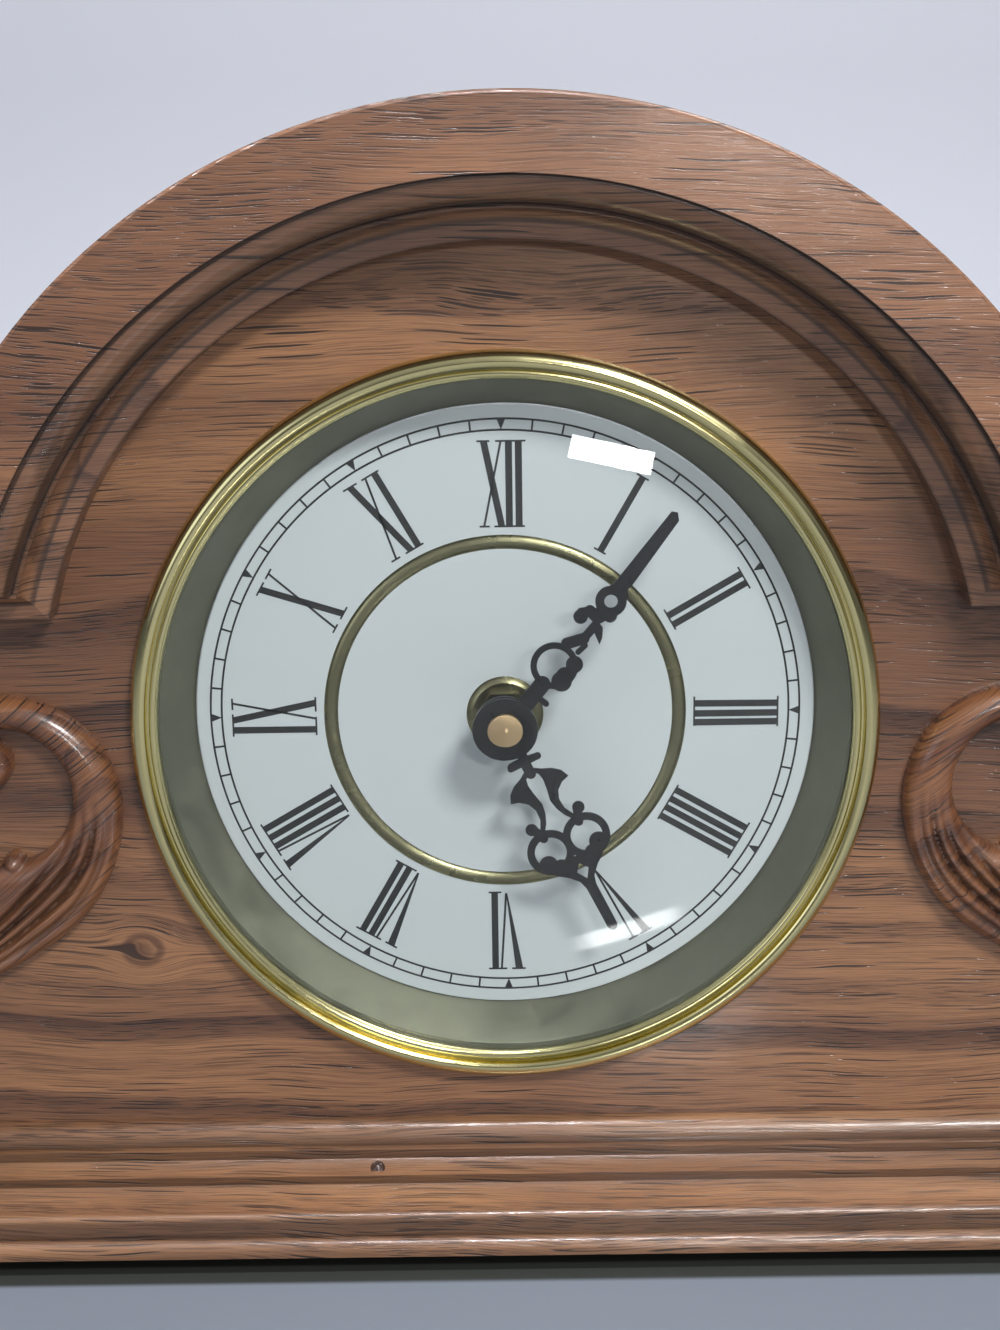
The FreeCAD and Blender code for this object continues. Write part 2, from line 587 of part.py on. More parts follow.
def make_base():
    """The base board, its three mitred mouldings and the foot pads."""
    half = s.case_half_width
    over = s.overrun
    board = box("base_board", (-half, panel_y, s.foot_height), (half, board_back_y, board_top))
    made.append(board)
    body = body_at("base_moulding_front", y=panel_y, z=s.foot_height)
    feature(body, "Pad", sketch(body, "YZ_Plane", moulding_profile(-1)), Midplane=True,
            Length=(half + s.base_reach) * 2)
    out = half + s.base_reach + over
    for side in (1, -1):
        path = [((half - over) * side, over), (out * side, -s.base_reach - over),
                (out * side, over)]
        feature(body, "Pocket", sketch(body, "XY_Plane", path), Midplane=True,
                Length=(s.moulding_height + over) * 2)
    for name, side in (("right", 1), ("left", -1)):
        body = body_at("base_moulding_" + name, half * side, panel_y - s.base_reach,
                       s.foot_height)
        feature(body, "Pad", sketch(body, "XZ_Plane", moulding_profile(side)), Reversed=True,
                Length=base_depth)
        path = [(-over * side, s.base_reach + over), ((s.base_reach + over) * side, -over),
                (-over * side, -over)]
        feature(body, "Pocket", sketch(body, "XY_Plane", path), Midplane=True,
                Length=(s.moulding_height + over) * 2)
    pads = []
    for x in (s.foot_inset - half, half - s.foot_inset):
        for y in (panel_y + s.foot_inset, board_back_y - s.foot_inset):
            pads.append(rod("foot", s.foot_radius, s.foot_height, x, y, ZERO, upright=True))
    group("foot_pads", pads)


def rod(label, radius, length, x, y, z, upright=False, along=None):
    """A round bar from a place, running back along +Y, up along +Z or along +X."""
    item = document.addObject("Part::Cylinder", label)
    item.setExpression("Radius", radius.text)
    item.setExpression("Height", length.text)
    if along == "x":
        item.Placement.Rotation = Rotation(Vector(0, 1, 0), 90)
    elif not upright:
        item.Placement.Rotation = Rotation(Vector(1, 0, 0), -90)
    put(item, x, y, z)
    return item


def joined(label, items):
    item = document.addObject("Part::MultiFuse", label)
    item.Shapes = items
    return item


def less(label, base, tools):
    """A piece with one or more tools cut out of it."""
    item = document.addObject("Part::Cut", label)
    item.Base = base
    item.Tool = tools[0] if len(tools) == 1 else joined(label + "_tools", tools)
    return item


def tail_of(radius, across, tip_height):
    """The arc that runs from a bowl's edge to the tail's tip and ends level.

    Gives its radius, the height of its centre, and the place where it leaves the bowl.
    """
    run = s.tail_tip_offset - across
    fall = s.scroll_height - tip_height
    long_radius = (run * run + fall * fall - radius * radius) / ((fall - radius) * 2)
    share = radius / (long_radius - radius)
    touch = (across - run * share, s.scroll_height - (long_radius - fall) * share)
    return long_radius, tip_height + long_radius, touch


def make_scrolls():
    """The carved volutes with their reeded tails, one the mirror of the other."""
    start = s.scroll_offset - s.scroll_radius
    dx = s.tail_tip_offset - s.scroll_offset
    dz = s.scroll_height - s.tail_tip_height
    dip = (dx * dx + dz * dz - s.scroll_radius * s.scroll_radius) / ((s.scroll_radius + dz) * 2)
    share = s.scroll_radius / (s.scroll_radius + dip)
    touch = (s.scroll_offset + dx * share, s.scroll_height + (dip - dz) * share)
    long_radius, _, leave = tail_of(s.bowl_radius, start + s.bowl_radius, s.tail_tip_height)
    path = [(s.tail_tip_offset, s.tail_tip_height, dip, -1), touch + (s.scroll_radius, 1),
            (start, s.scroll_height, s.bowl_radius, 1), leave + (long_radius, 1)]
    body = document.addObject("PartDesign::Body", "scroll_right")
    body.Label = "scroll_right"
    put(body, y=panel_y)
    drawing = sketch(body, "XZ_Plane", path)
    ring(drawing, s.hollow_offset, s.hollow_height, s.hollow_radius)
    feature(body, "Pad", drawing, Length=s.scroll_relief)
    for across, up, radius in HOLLOW_DISC_SHARES:
        drawing = sketch(body, "XZ_Plane")
        ring(drawing, s.hollow_offset + s.hollow_radius * across,
             s.hollow_height + s.hollow_radius * up, s.hollow_radius * radius)
        feature(body, "Pad", drawing, Length=s.scroll_relief)
    document.recompute()
    solid = body.Tip
    soft = body.newObject("PartDesign::Fillet", "rounding")
    soft.Base = (solid, outer_edges(solid.Shape))
    soft.setExpression("Radius", s.scroll_round.text)
    for number in range(1, REEDS + 1):
        radius = s.bowl_radius - s.reed_pitch * number
        first = start + s.reed_crowding * number
        long_radius, centre, leave = tail_of(
            radius, first + radius, s.tail_tip_height + s.reed_tip_pitch * number)
        end = leave[0] + (s.tail_tip_offset - leave[0]) * REED_LENGTH_SHARE
        left = s.tail_tip_offset - end
        path = [(first, s.scroll_height, radius, 1), leave + (long_radius, 1),
                (end, centre - (long_radius * long_radius - left * left).root())]
        spine = sketch(body, "XZ_Plane", offset=s.scroll_relief)
        draw(spine, path, closed=False)
        section = sketch(body, "XY_Plane", offset=s.scroll_height)
        ring(section, first, -s.scroll_relief, s.reed_groove_radius)
        groove = body.newObject("PartDesign::SubtractivePipe", "reed")
        groove.Profile = (section, [""])
        groove.Spine = (spine, [""])
    left = document.addObject("Part::Mirroring", "scroll_left")
    left.Source = body
    left.Normal = Vector(1, 0, 0)
    made.extend((body, left))


def outer_edges(shape):
    """The edges of the scroll's front face that lie outside its hollow."""
    front = -s.scroll_relief.value
    limit = (s.hollow_radius + s.scroll_round).value
    names = []
    for number, edge in enumerate(shape.Edges, start=1):
        ends = [vertex.Point for vertex in edge.Vertexes]
        level = all(abs(end.y - front) < s.scroll_round.value / 2 for end in ends)
        far = all(math.hypot(end.x - s.hollow_offset.value, end.z - s.hollow_height.value)
                  > limit for end in ends)
        if level and far:
            names.append("Edge%d" % number)
    return names


def rectangle(low, high):
    """The four corners of an upright rectangle."""
    return [(low[0], low[1]), (high[0], low[1]), (high[0], high[1]), (low[0], high[1])]


def rounded(low, high, radius):
    """A rectangle with rounded corners, anticlockwise from its lower left."""
    (x, z), (across, up) = low, high
    return [(x, z + radius, radius, 1), (x + radius, z), (across - radius, z, radius, 1),
            (across, z + radius), (across, up - radius, radius, 1), (across - radius, up),
            (x + radius, up, radius, 1), (x, up - radius)]


def back_screw_places():
    """Where the back panel is screwed: twice to the top cleat and once to each foot cleat."""
    low = s.cleat_size / 2
    high = hood_height + s.arch_radius - s.wrap_thickness - s.cleat_size * CLEAT_LINE_SHARE
    side = s.case_half_width - s.wrap_thickness - s.cleat_length / 2
    return ((-s.cleat_length / 2, high), (s.cleat_length / 2, high),
            (-side, board_top + low), (side, board_top + low))


def screws(label, places, seat_y, head_radius, head_height, shank_radius, length):
    """Screws driven forwards: each a shank in front of the seat and a tapered head on it."""
    items = []
    for x, z in places:
        shank = rod("shank", shank_radius, length, x, seat_y - length, z)
        head = document.addObject("Part::Cone", "head")
        head.setExpression("Radius1", head_radius.text)
        head.setExpression("Radius2", (head_radius * HEAD_TAPER_SHARE).text)
        head.setExpression("Height", head_height.text)
        head.Placement.Rotation = Rotation(Vector(1, 0, 0), -90)
        put(head, x, seat_y, z)
        items.append(joined("screw", [shank, head]))
    return group(label, items)


def make_back():
    """The back panel with its door opening, the door, and what carries the panel."""
    inset = s.wrap_thickness + s.wood_gap
    body = body_at("back_panel", y=back_inner_y)
    drawing = sketch(body, "XZ_Plane", full_outline(inset, board_top))
    half_width, half_height = s.door_width / 2, s.door_height / 2
    gap = s.door_gap
    middle = s.door_centre_height
    draw(drawing, rectangle((-half_width - gap, middle - half_height - gap),
                            (half_width + gap, middle + half_height + gap)))
    for x, z in back_screw_places():
        ring(drawing, x, z, s.screw_shank_radius + s.hinge_fit)
    for x, z in hinge_screw_places(-1):
        ring(drawing, x, z, s.pin_shank_radius + s.hinge_fit)
    feature(body, "Pad", drawing, Length=s.back_thickness, Reversed=True)
    body = body_at("back_door", y=back_inner_y)
    drawing = sketch(body, "XZ_Plane", rectangle((-half_width, middle - half_height),
                                                 (half_width, middle + half_height)))
    ring(drawing, knob_x, middle, s.knob_stem_radius + s.hinge_fit)
    for x, z in hinge_screw_places(1):
        ring(drawing, x, z, s.pin_shank_radius + s.hinge_fit)
    feature(body, "Pad", drawing, Length=s.back_thickness, Reversed=True)
    turned("door_knob", [
        (-s.back_thickness, ZERO), (-s.back_thickness, s.knob_stem_radius),
        (ZERO, s.knob_stem_radius), (ZERO, s.knob_radius * KNOB_FOOT_SHARE),
        (s.knob_length / 2, s.knob_radius), (s.knob_length - s.knob_radius / 2, s.knob_radius,
                                             s.knob_radius / 2, -1),
        (s.knob_length, s.knob_radius / 2), (s.knob_length, ZERO)],
        knob_x, back_outer_y, middle)
    inner = back_inner_y - s.strike_thickness
    strike = box("door_strike", (half_width - s.strike_width, inner,
                                 middle - s.strike_height / 2),
                 (half_width, back_inner_y, middle + s.strike_height / 2))
    made.append(strike)
    body = body_at("door_catch", half_width, back_inner_y, middle)
    reach = s.catch_width / 2
    path = [(-reach, -s.strike_thickness), (gap, -s.strike_thickness), (gap * 2, ZERO),
            (reach, ZERO), (reach, -s.catch_depth), (-reach, -s.catch_depth)]
    feature(body, "Pad", sketch(body, "XY_Plane", path), Midplane=True,
            Length=s.catch_height)
    make_cleats()


def make_cleats():
    """The blocks inside: one under the arch, one in each foot corner, two behind the panel."""
    front = back_inner_y - s.cleat_size
    reach = s.arch_radius - s.wrap_thickness
    half = s.cleat_length
    rise = (reach * reach - half * half).root()
    body = document.addObject("PartDesign::Body", "top_cleat")
    put(body, y=front, z=hood_height)
    path = [(-half, rise - s.cleat_size / 2), (half, rise - s.cleat_size / 2),
            (half, rise, reach, 1), (-half, rise)]
    drawing = sketch(body, "XZ_Plane", path)
    for x, z in back_screw_places()[:2]:
        ring(drawing, x, z - hood_height, s.screw_shank_radius + s.hinge_fit)
    feature(body, "Pad", drawing, Length=s.cleat_size, Reversed=True)
    cleats = [body]
    wall = s.case_half_width - s.wrap_thickness
    for side, (x, z) in zip((-1, 1), back_screw_places()[2:]):
        ends = sorted((wall * side, (wall - s.cleat_length) * side), key=worth)
        block = box("cleat", (ends[0], front, board_top),
                    (ends[1], back_inner_y, board_top + s.cleat_size))
        bore = rod("bore", s.screw_shank_radius + s.hinge_fit, s.cleat_size + s.overrun * 2, x,
                   front - s.overrun, z)
        cleats.append(less("cleat_bored", block, [bore]))
    group("back_cleats", cleats)
    screws("back_screws", back_screw_places(), back_outer_y, s.screw_head_radius,
           s.screw_head_height, s.screw_shank_radius, s.screw_length)
    blocks = []
    for side in (-1, 1):
        middle = s.case_half_width / 2 * side
        blocks.append(box("block", (middle - s.block_length / 2, panel_back_y, board_top), (
            middle + s.block_length / 2, panel_back_y + s.block_size,
            board_top + s.block_size)))
    group("glue_blocks", blocks)


def hinge_bases():
    """The lower ends of the two hinges."""
    low = s.door_centre_height - s.door_height / 2 + s.hinge_inset
    high = s.door_centre_height + s.door_height / 2 - s.hinge_inset - s.leaf_length
    return low, high


def hinge_screw_places(side):
    """Two screws in each leaf; side is -1 on the panel and 1 on the door."""
    x = hinge_x + (s.leaf_width + s.barrel_radius) / 2 * side
    return [(x, base + s.leaf_length * share) for base in hinge_bases()
            for share in LEAF_SCREW_SHARES]


def make_leaves(label, side, knuckles):
    """The leaves of both hinges on one side, each with its share of the knuckles."""
    pitch = s.leaf_length / 3
    clear = s.barrel_radius + s.knuckle_gap
    leaves = []
    for base in hinge_bases():
        ends = sorted((hinge_x + clear * side, hinge_x + (clear + s.leaf_width) * side),
                      key=worth)
        parts = [box("plate", (ends[0], back_outer_y, base),
                     (ends[1], back_outer_y + s.leaf_thickness, base + s.leaf_length))]
        for place in knuckles:
            low = base + pitch * place + s.knuckle_gap / 2
            high = pitch - s.knuckle_gap
            parts.append(rod("knuckle", s.barrel_radius, high, hinge_x, hinge_y, low,
                             upright=True))
            near = sorted((hinge_x, hinge_x + clear * side + s.leaf_thickness * side),
                          key=worth)
            parts.append(box("tongue", (near[0], back_outer_y, low),
                             (near[1], back_outer_y + s.leaf_thickness, low + high)))
        bores = [rod("bore", s.hinge_pin_radius + s.hinge_fit, s.leaf_length, hinge_x, hinge_y,
                     base, upright=True)]
        for x, z in hinge_screw_places(side):
            if base.value < z.value < (base + s.leaf_length).value:
                bores.append(rod("bore", s.pin_shank_radius + s.hinge_fit,
                                 s.leaf_thickness * 3, x, back_outer_y - s.leaf_thickness, z))
        leaves.append(less("leaf", joined("leaf_solid", parts), bores))
    group(label, leaves)
    screws(label.replace("leaves", "screws"), hinge_screw_places(side),
           back_outer_y + s.leaf_thickness, s.pin_head_radius, s.leaf_thickness,
           s.pin_shank_radius, s.back_thickness)


def make_hinges():
    """Two butt hinges on the back: leaves and screws on the panel and on the door, and pins."""
    make_leaves("hinge_leaves_fixed", -1, (0, 2))
    make_leaves("hinge_leaves_door", 1, (1,))
    pins = [rod("pin", s.hinge_pin_radius, s.leaf_length, hinge_x, hinge_y, base, upright=True)
            for base in hinge_bases()]
    group("hinge_pins", pins)


def washer(label, low, high, inner, outer):
    """A flat ring about the dial's axis between two depths."""
    return turned(label, [(low, inner), (high, inner), (high, outer), (low, outer)], *DIAL)


def make_dial_insert():
    """The pan, dial, reflector, trim ring, bezel and glass, and the clamps that hold them."""
    bore = s.post_radius + s.post_fit
    neck = s.pan_neck_radius
    turned("dial_pan", [
        (s.dial_sheet, bore), (pan_back, bore), (pan_back, neck), (-s.dial_recess, neck),
        (-s.dial_recess, neck - s.pan_sheet), (s.dial_sheet, neck - s.pan_sheet)], *DIAL)
    washer("dial_plate", ZERO, s.dial_sheet, bore, s.dial_radius)
    rim = s.reflector_rim_radius
    rim_front = -s.dial_recess - s.glass_edge_height
    turned("reflector_ring", [
        (s.dial_sheet, s.dial_radius + s.post_fit), (s.dial_sheet, s.dial_radius + s.post_fit
                                                     + s.reflector_foot),
        (-s.reflector_rise + s.reflector_foot, rim), (rim_front, rim),
        (rim_front, s.reflector_radius), (-s.reflector_rise, s.reflector_radius)], *DIAL)
    half = (s.trim_outer_radius - s.trim_inner_radius) / 2
    turned("dial_trim_ring", [
        (ZERO, s.trim_outer_radius, sweep_radius(half, s.trim_height), 1),
        (ZERO, s.trim_inner_radius)], *DIAL)
    seat = s.glass_radius + s.glass_fit
    edge = s.glass_edge_height + s.glass_thickness
    lip = edge + s.bezel_lip_fit
    turned("bezel", [
        (ZERO, seat), (ZERO, s.bezel_radius),
        (-s.bezel_edge, s.bezel_radius, s.bezel_crest_round, 1),
        (-s.bezel_crest_height, s.bezel_crest_radius, s.bezel_crest_round, 1),
        (-s.bezel_groove_height, s.bezel_groove_radius),
        (-s.bezel_bead_height, s.bezel_bead_radius, s.bezel_bead_round, 1),
        (-lip - s.bezel_lip_height, s.bezel_lip_radius), (-lip, s.bezel_lip_radius),
        (-lip, seat)], s.dial_shift, panel_y, s.dial_height)
    bulge = sweep_radius(s.glass_radius, s.glass_rise)
    turned("glass", [
        (-s.glass_edge_height, s.glass_radius), (-edge, s.glass_radius, bulge, 1),
        (-edge - s.glass_rise, ZERO),
        (-s.glass_edge_height - s.glass_rise, ZERO, bulge, -1)],
        s.dial_shift, panel_y, s.dial_height)
    clamps = []
    for number, (hole_x, hole_z) in enumerate(clamp_places()):
        body = document.addObject("PartDesign::Body", "clamp")
        body.Placement.Rotation = Rotation(Vector(0, -1, 0),
                                           90 + DEGREES_A_TURN / CLAMPS * number)
        put(body, *DIAL)
        sheet_top = s.clamp_thickness
        path = [(s.pan_neck_radius - s.clamp_lip, pan_back), (s.pan_hole_radius, pan_back),
                (s.pan_hole_radius, panel_back),
                (s.pan_hole_radius + s.clamp_reach, panel_back),
                (s.pan_hole_radius + s.clamp_reach, panel_back + sheet_top),
                (s.pan_hole_radius + sheet_top, panel_back + sheet_top),
                (s.pan_hole_radius + sheet_top, pan_back + sheet_top),
                (s.pan_neck_radius - s.clamp_lip, pan_back + sheet_top)]
        feature(body, "Pad", sketch(body, "XY_Plane", path), Midplane=True,
                Length=s.clamp_width)
        bore = rod("bore", s.screw_shank_radius + s.hinge_fit, sheet_top * 3, hole_x,
                   dial_y + panel_back - sheet_top, hole_z)
        clamps.append(less("clamp_bored", body, [bore]))
    group("pan_clamps", clamps)
    screws("clamp_screws", clamp_places(), dial_y + panel_back + s.clamp_thickness,
           s.screw_head_radius, s.screw_head_height, s.screw_shank_radius,
           s.clamp_screw_length)


def make_movement_case():
    """The movement's two moulded shells, the middle plate and the fixing on the dial."""
    half = s.movement_side / 2
    inner = half - s.movement_wall
    corner = s.movement_corner - s.movement_wall
    bay_top = s.bay_height - inner
    body = body_at("movement_front_case", s.dial_shift, dial_y + movement_front, s.dial_height)
    drawing = sketch(body, "XZ_Plane", rounded((-half, -half), (half, half),
                                               s.movement_corner))
    feature(body, "Pad", drawing, Length=s.movement_front_depth, Reversed=True)
    drawing = sketch(body, "XZ_Plane", rounded((-inner, bay_top + s.movement_wall),
                                               (inner, inner), corner),
                     offset=-s.movement_front_depth)
    draw(drawing, rounded((-inner, -inner), (inner, bay_top), corner))
    feature(body, "Pocket", drawing, Length=s.movement_front_depth - s.movement_wall,
            Reversed=True)
    drawing = sketch(body, "XZ_Plane", offset=-s.movement_wall)
    for x in (-inner + s.pillar_inset, inner - s.pillar_inset):
        for z in (bay_top + s.pillar_inset, inner - s.pillar_inset):
            ring(drawing, x, z, s.pillar_radius)
    feature(body, "Pad", drawing, Length=s.plate_layer, Reversed=True)
    drawing = sketch(body, "XZ_Plane")
    ring(drawing, ZERO, ZERO, s.post_radius)
    feature(body, "Pad", drawing, Length=s.post_reach + movement_front)
    drawing = sketch(body, "XZ_Plane")
    ring(drawing, ZERO, ZERO, s.post_bore)
    feature(body, "Pocket", drawing, Midplane=True, Length=s.movement_side)
    drawing = sketch(body, "XZ_Plane", offset=-s.movement_wall)
    ring(drawing, set_x, ZERO, s.set_arbor_radius + s.pivot_fit)
    feature(body, "Pocket", drawing, Length=s.pivot_depth, Reversed=True)
    make_back_cover(half, inner, corner, bay_top)
    body = body_at("middle_plate", s.dial_shift, layer_y(s.plate_layer), s.dial_height)
    edge = s.end_shake
    drawing = sketch(body, "XZ_Plane", rounded(
        (-inner + edge, bay_top + s.movement_wall + edge), (inner - edge, inner - edge),
        corner))
    ring(drawing, ZERO, ZERO, arbor_radius + s.shaft_fit)
    ring(drawing, set_x, ZERO, s.set_arbor_radius + s.shaft_fit)
    for x, z in pivots[1:]:
        ring(drawing, x, z, s.train_arbor_radius + s.pivot_fit)
    feature(body, "Pad", drawing, Length=s.plate_sheet, Reversed=True)
    washer("rubber_washer", pan_back, movement_front, s.post_radius + s.post_fit,
           s.washer_radius)
    bore = s.post_radius + s.shaft_fit
    turned("brass_washer", [
        (ZERO, bore), (ZERO, s.washer_radius, s.washer_dome, 1),
        (-s.washer_thickness, s.nut_radius + s.washer_thickness), (-s.washer_thickness, bore)],
        *DIAL)
    nut = document.addObject("Part::Prism", "nut_blank")
    nut.Polygon = 6
    nut.setExpression("Circumradius", s.nut_radius.text)
    nut.setExpression("Height", s.nut_thickness.text)
    nut.Placement.Rotation = Rotation(Vector(1, 0, 0), -90)
    low = dial_y - s.washer_thickness - s.nut_thickness
    put(nut, s.dial_shift, low, s.dial_height)
    hole = rod("nut_bore", bore, s.nut_thickness * 3, s.dial_shift, low - s.nut_thickness,
               s.dial_height)
    made.append(less("mounting_nut", nut, [hole]))


def make_back_cover(half, inner, corner, bay_top):
    """The movement's rear shell, open along its foot for the cell."""
    depth = s.movement_back_depth
    wall_y = depth - s.movement_wall
    body = body_at("movement_back_cover", s.dial_shift,
                   dial_y + movement_front + s.movement_front_depth, s.dial_height)
    drawing = sketch(body, "XZ_Plane", rounded((-half, -half), (half, half),
                                               s.movement_corner))
    feature(body, "Pad", drawing, Length=depth, Reversed=True)
    drawing = sketch(body, "XZ_Plane", rounded((-inner, bay_top + s.movement_wall),
                                               (inner, inner), corner))
    feature(body, "Pocket", drawing, Length=wall_y)
    drawing = sketch(body, "XZ_Plane", rounded((-inner, -inner), (inner, bay_top), corner))
    feature(body, "Pocket", drawing, Length=depth)
    drawing = sketch(body, "XZ_Plane", offset=-wall_y)
    for x in (-s.stator_length / 2 + s.stator_foot, s.stator_length / 2 - s.stator_foot):
        ring(drawing, x, pivots[3][1], s.pillar_radius)
    stator_back = s.stator_layer + s.stator_sheet
    chamber = s.movement_front_depth + s.movement_back_depth - s.movement_wall * 2
    feature(body, "Pad", drawing, Length=chamber - stator_back)
    drawing = sketch(body, "XZ_Plane", offset=-wall_y)
    for x, z in pivots:
        ring(drawing, x, z, s.train_arbor_radius + s.pivot_fit)
    feature(body, "Pocket", drawing, Length=s.pivot_depth)
    drawing = sketch(body, "XZ_Plane", offset=-wall_y)
    ring(drawing, set_x, ZERO, s.set_arbor_radius + s.shaft_fit)
    feature(body, "Pocket", drawing, Length=depth)


def layer_y(depth):
    """Depth in the case of a layer counted from the movement's front wall."""
    return dial_y + movement_front + s.movement_wall + depth


def toothed(teeth, module, low, high, phase):
    """A spur wheel about Y between two depths; each tooth has four corners."""
    pitch = module * teeth / 2
    step = DEGREES_A_TURN / teeth
    points = []
    for tooth in range(teeth):
        for share, radius in ((-ROOT_SHARE, pitch - module * DEDENDUM),
                              (-TIP_SHARE, pitch + module * ADDENDUM),
                              (TIP_SHARE, pitch + module * ADDENDUM),
                              (ROOT_SHARE, pitch - module * DEDENDUM)):
            turn = math.radians(phase + step * (tooth + share))
            points.append(Vector(radius * math.cos(turn), low, radius * math.sin(turn)))
    outline = Part.makePolygon(points + points[:1])
    return Part.Face(outline).extrude(Vector(0, high - low, 0))


def bar(radius, low, high):
    return Part.makeCylinder(radius, high - low, Vector(0, low, 0), Vector(0, 1, 0))


def wheel_piece(label, across, up, low, solids, bores=()):
    """A wheel, its pinion and arbor as one piece; depths are counted from low."""
    shape = solids[0].fuse(list(solids[1:])) if len(solids) > 1 else solids[0]
    for bore in bores:
        shape = shape.cut(bore)
    return shaped(label, shape, s.dial_shift + across, low, s.dial_height + up)


def make_train():
    """The wheels that carry the motion from the rotor to the hands."""
    zero = layer_y(ZERO)
    sheet_value, pinion = s.wheel_sheet.value, s.pinion_length.value
    arbor, shake = s.train_arbor_radius.value, s.end_shake.value
    chamber = (s.movement_front_depth + s.movement_back_depth - s.movement_wall * 2).value
    plate = s.plate_layer.value
    motion, third = s.motion_module.value, s.third_module.value
    seconds, rotor = s.seconds_module.value, s.rotor_module.value
    cannon_module = motion * (HOUR_TEETH + SMALL_TEETH) / (CANNON_TEETH + MINUTE_TEETH)
    centre_module = third * (THIRD_TEETH + LEAVES) / (CENTRE_TEETH + LEAVES)
    outward = -(zero - dial_y).value

    low = s.hour_layer.value
    wheel_piece("hour_wheel", ZERO, ZERO, zero, [
        toothed(HOUR_TEETH, motion, low, low + sheet_value, 0),
        bar(pipe_radius.value, outward - s.pipe_reach.value, low + sheet_value)],
        [bar((arbor_radius + s.shaft_fit).value, outward - s.movement_side.value, chamber)])
    middle = s.cannon_layer.value
    end = s.centre_layer.value + sheet_value + shake
    wheel_piece("minute_arbor", ZERO, ZERO, zero, [
        bar(arbor_radius.value, outward - s.arbor_reach.value, end),
        toothed(CANNON_TEETH, cannon_module, middle, middle + pinion, 0)],
        [bar(arbor + s.pivot_fit.value, end - pinion, chamber)])
    rear = chamber + s.movement_wall.value + (s.set_knob_gap + s.set_knob_length).value
    wheel_piece("minute_wheel", set_x, ZERO, zero, [
        bar(s.set_arbor_radius.value, -s.pivot_depth.value + shake, rear),
        toothed(SMALL_TEETH, motion, low - shake, low + pinion, 180 + 180.0 / SMALL_TEETH),
        toothed(MINUTE_TEETH, cannon_module, middle + shake, middle + shake + sheet_value,
                180 + 180.0 / MINUTE_TEETH)])
    layer = s.centre_layer.value
    wheel_piece("centre_wheel", ZERO, ZERO, zero, [
        toothed(CENTRE_TEETH, centre_module, layer, layer + sheet_value, 0)],
        [bar((arbor_radius + s.pivot_fit).value, plate, chamber)])
    start, stop = plate + shake, chamber + s.pivot_depth.value - shake
    third_layer = s.third_layer.value
    wheel_piece("third_wheel", *pivots[1], zero, [
        bar(arbor, start, stop),
        toothed(LEAVES, centre_module, layer - shake, layer + pinion, 180.0 / LEAVES),
        toothed(THIRD_TEETH, third, third_layer, third_layer + sheet_value,
                180.0 / THIRD_TEETH)])
    layer = s.seconds_layer.value
    wheel_piece("seconds_wheel", ZERO, ZERO, zero, [
        bar(arbor, end - pinion + shake, stop),
        toothed(LEAVES, third, third_layer - shake, third_layer + pinion, 0),
        toothed(SECONDS_TEETH, seconds, layer, layer + sheet_value, 90)])
    rotor_layer = s.rotor_layer.value
    wheel_piece("fifth_wheel", *pivots[2], zero, [
        bar(arbor, start, stop),
        toothed(SMALL_TEETH, seconds, layer - shake, layer + pinion, 180.0 / SMALL_TEETH - 90),
        toothed(FIFTH_TEETH, rotor, rotor_layer, rotor_layer + sheet_value, 0)])
    magnet = s.magnet_layer.value
    wheel_piece("rotor", *pivots[3], zero, [
        bar(arbor, start, stop),
        toothed(SMALL_TEETH, rotor, rotor_layer - shake, rotor_layer + pinion,
                180.0 / SMALL_TEETH - 90),
        bar(s.magnet_radius.value, magnet, magnet + s.magnet_length.value)])
    knob_low = (s.movement_front_depth + s.movement_back_depth - s.movement_wall
                + s.set_knob_gap)
    turned("set_knob", [
        (ZERO, s.set_arbor_radius + s.press_fit),
        (ZERO, s.set_knob_radius * KNOB_FOOT_SHARE), (s.set_knob_length / 2, s.set_knob_radius),
        (s.set_knob_length, s.set_knob_radius),
        (s.set_knob_length, s.set_arbor_radius + s.press_fit)],
        s.dial_shift + set_x, layer_y(knob_low), s.dial_height)


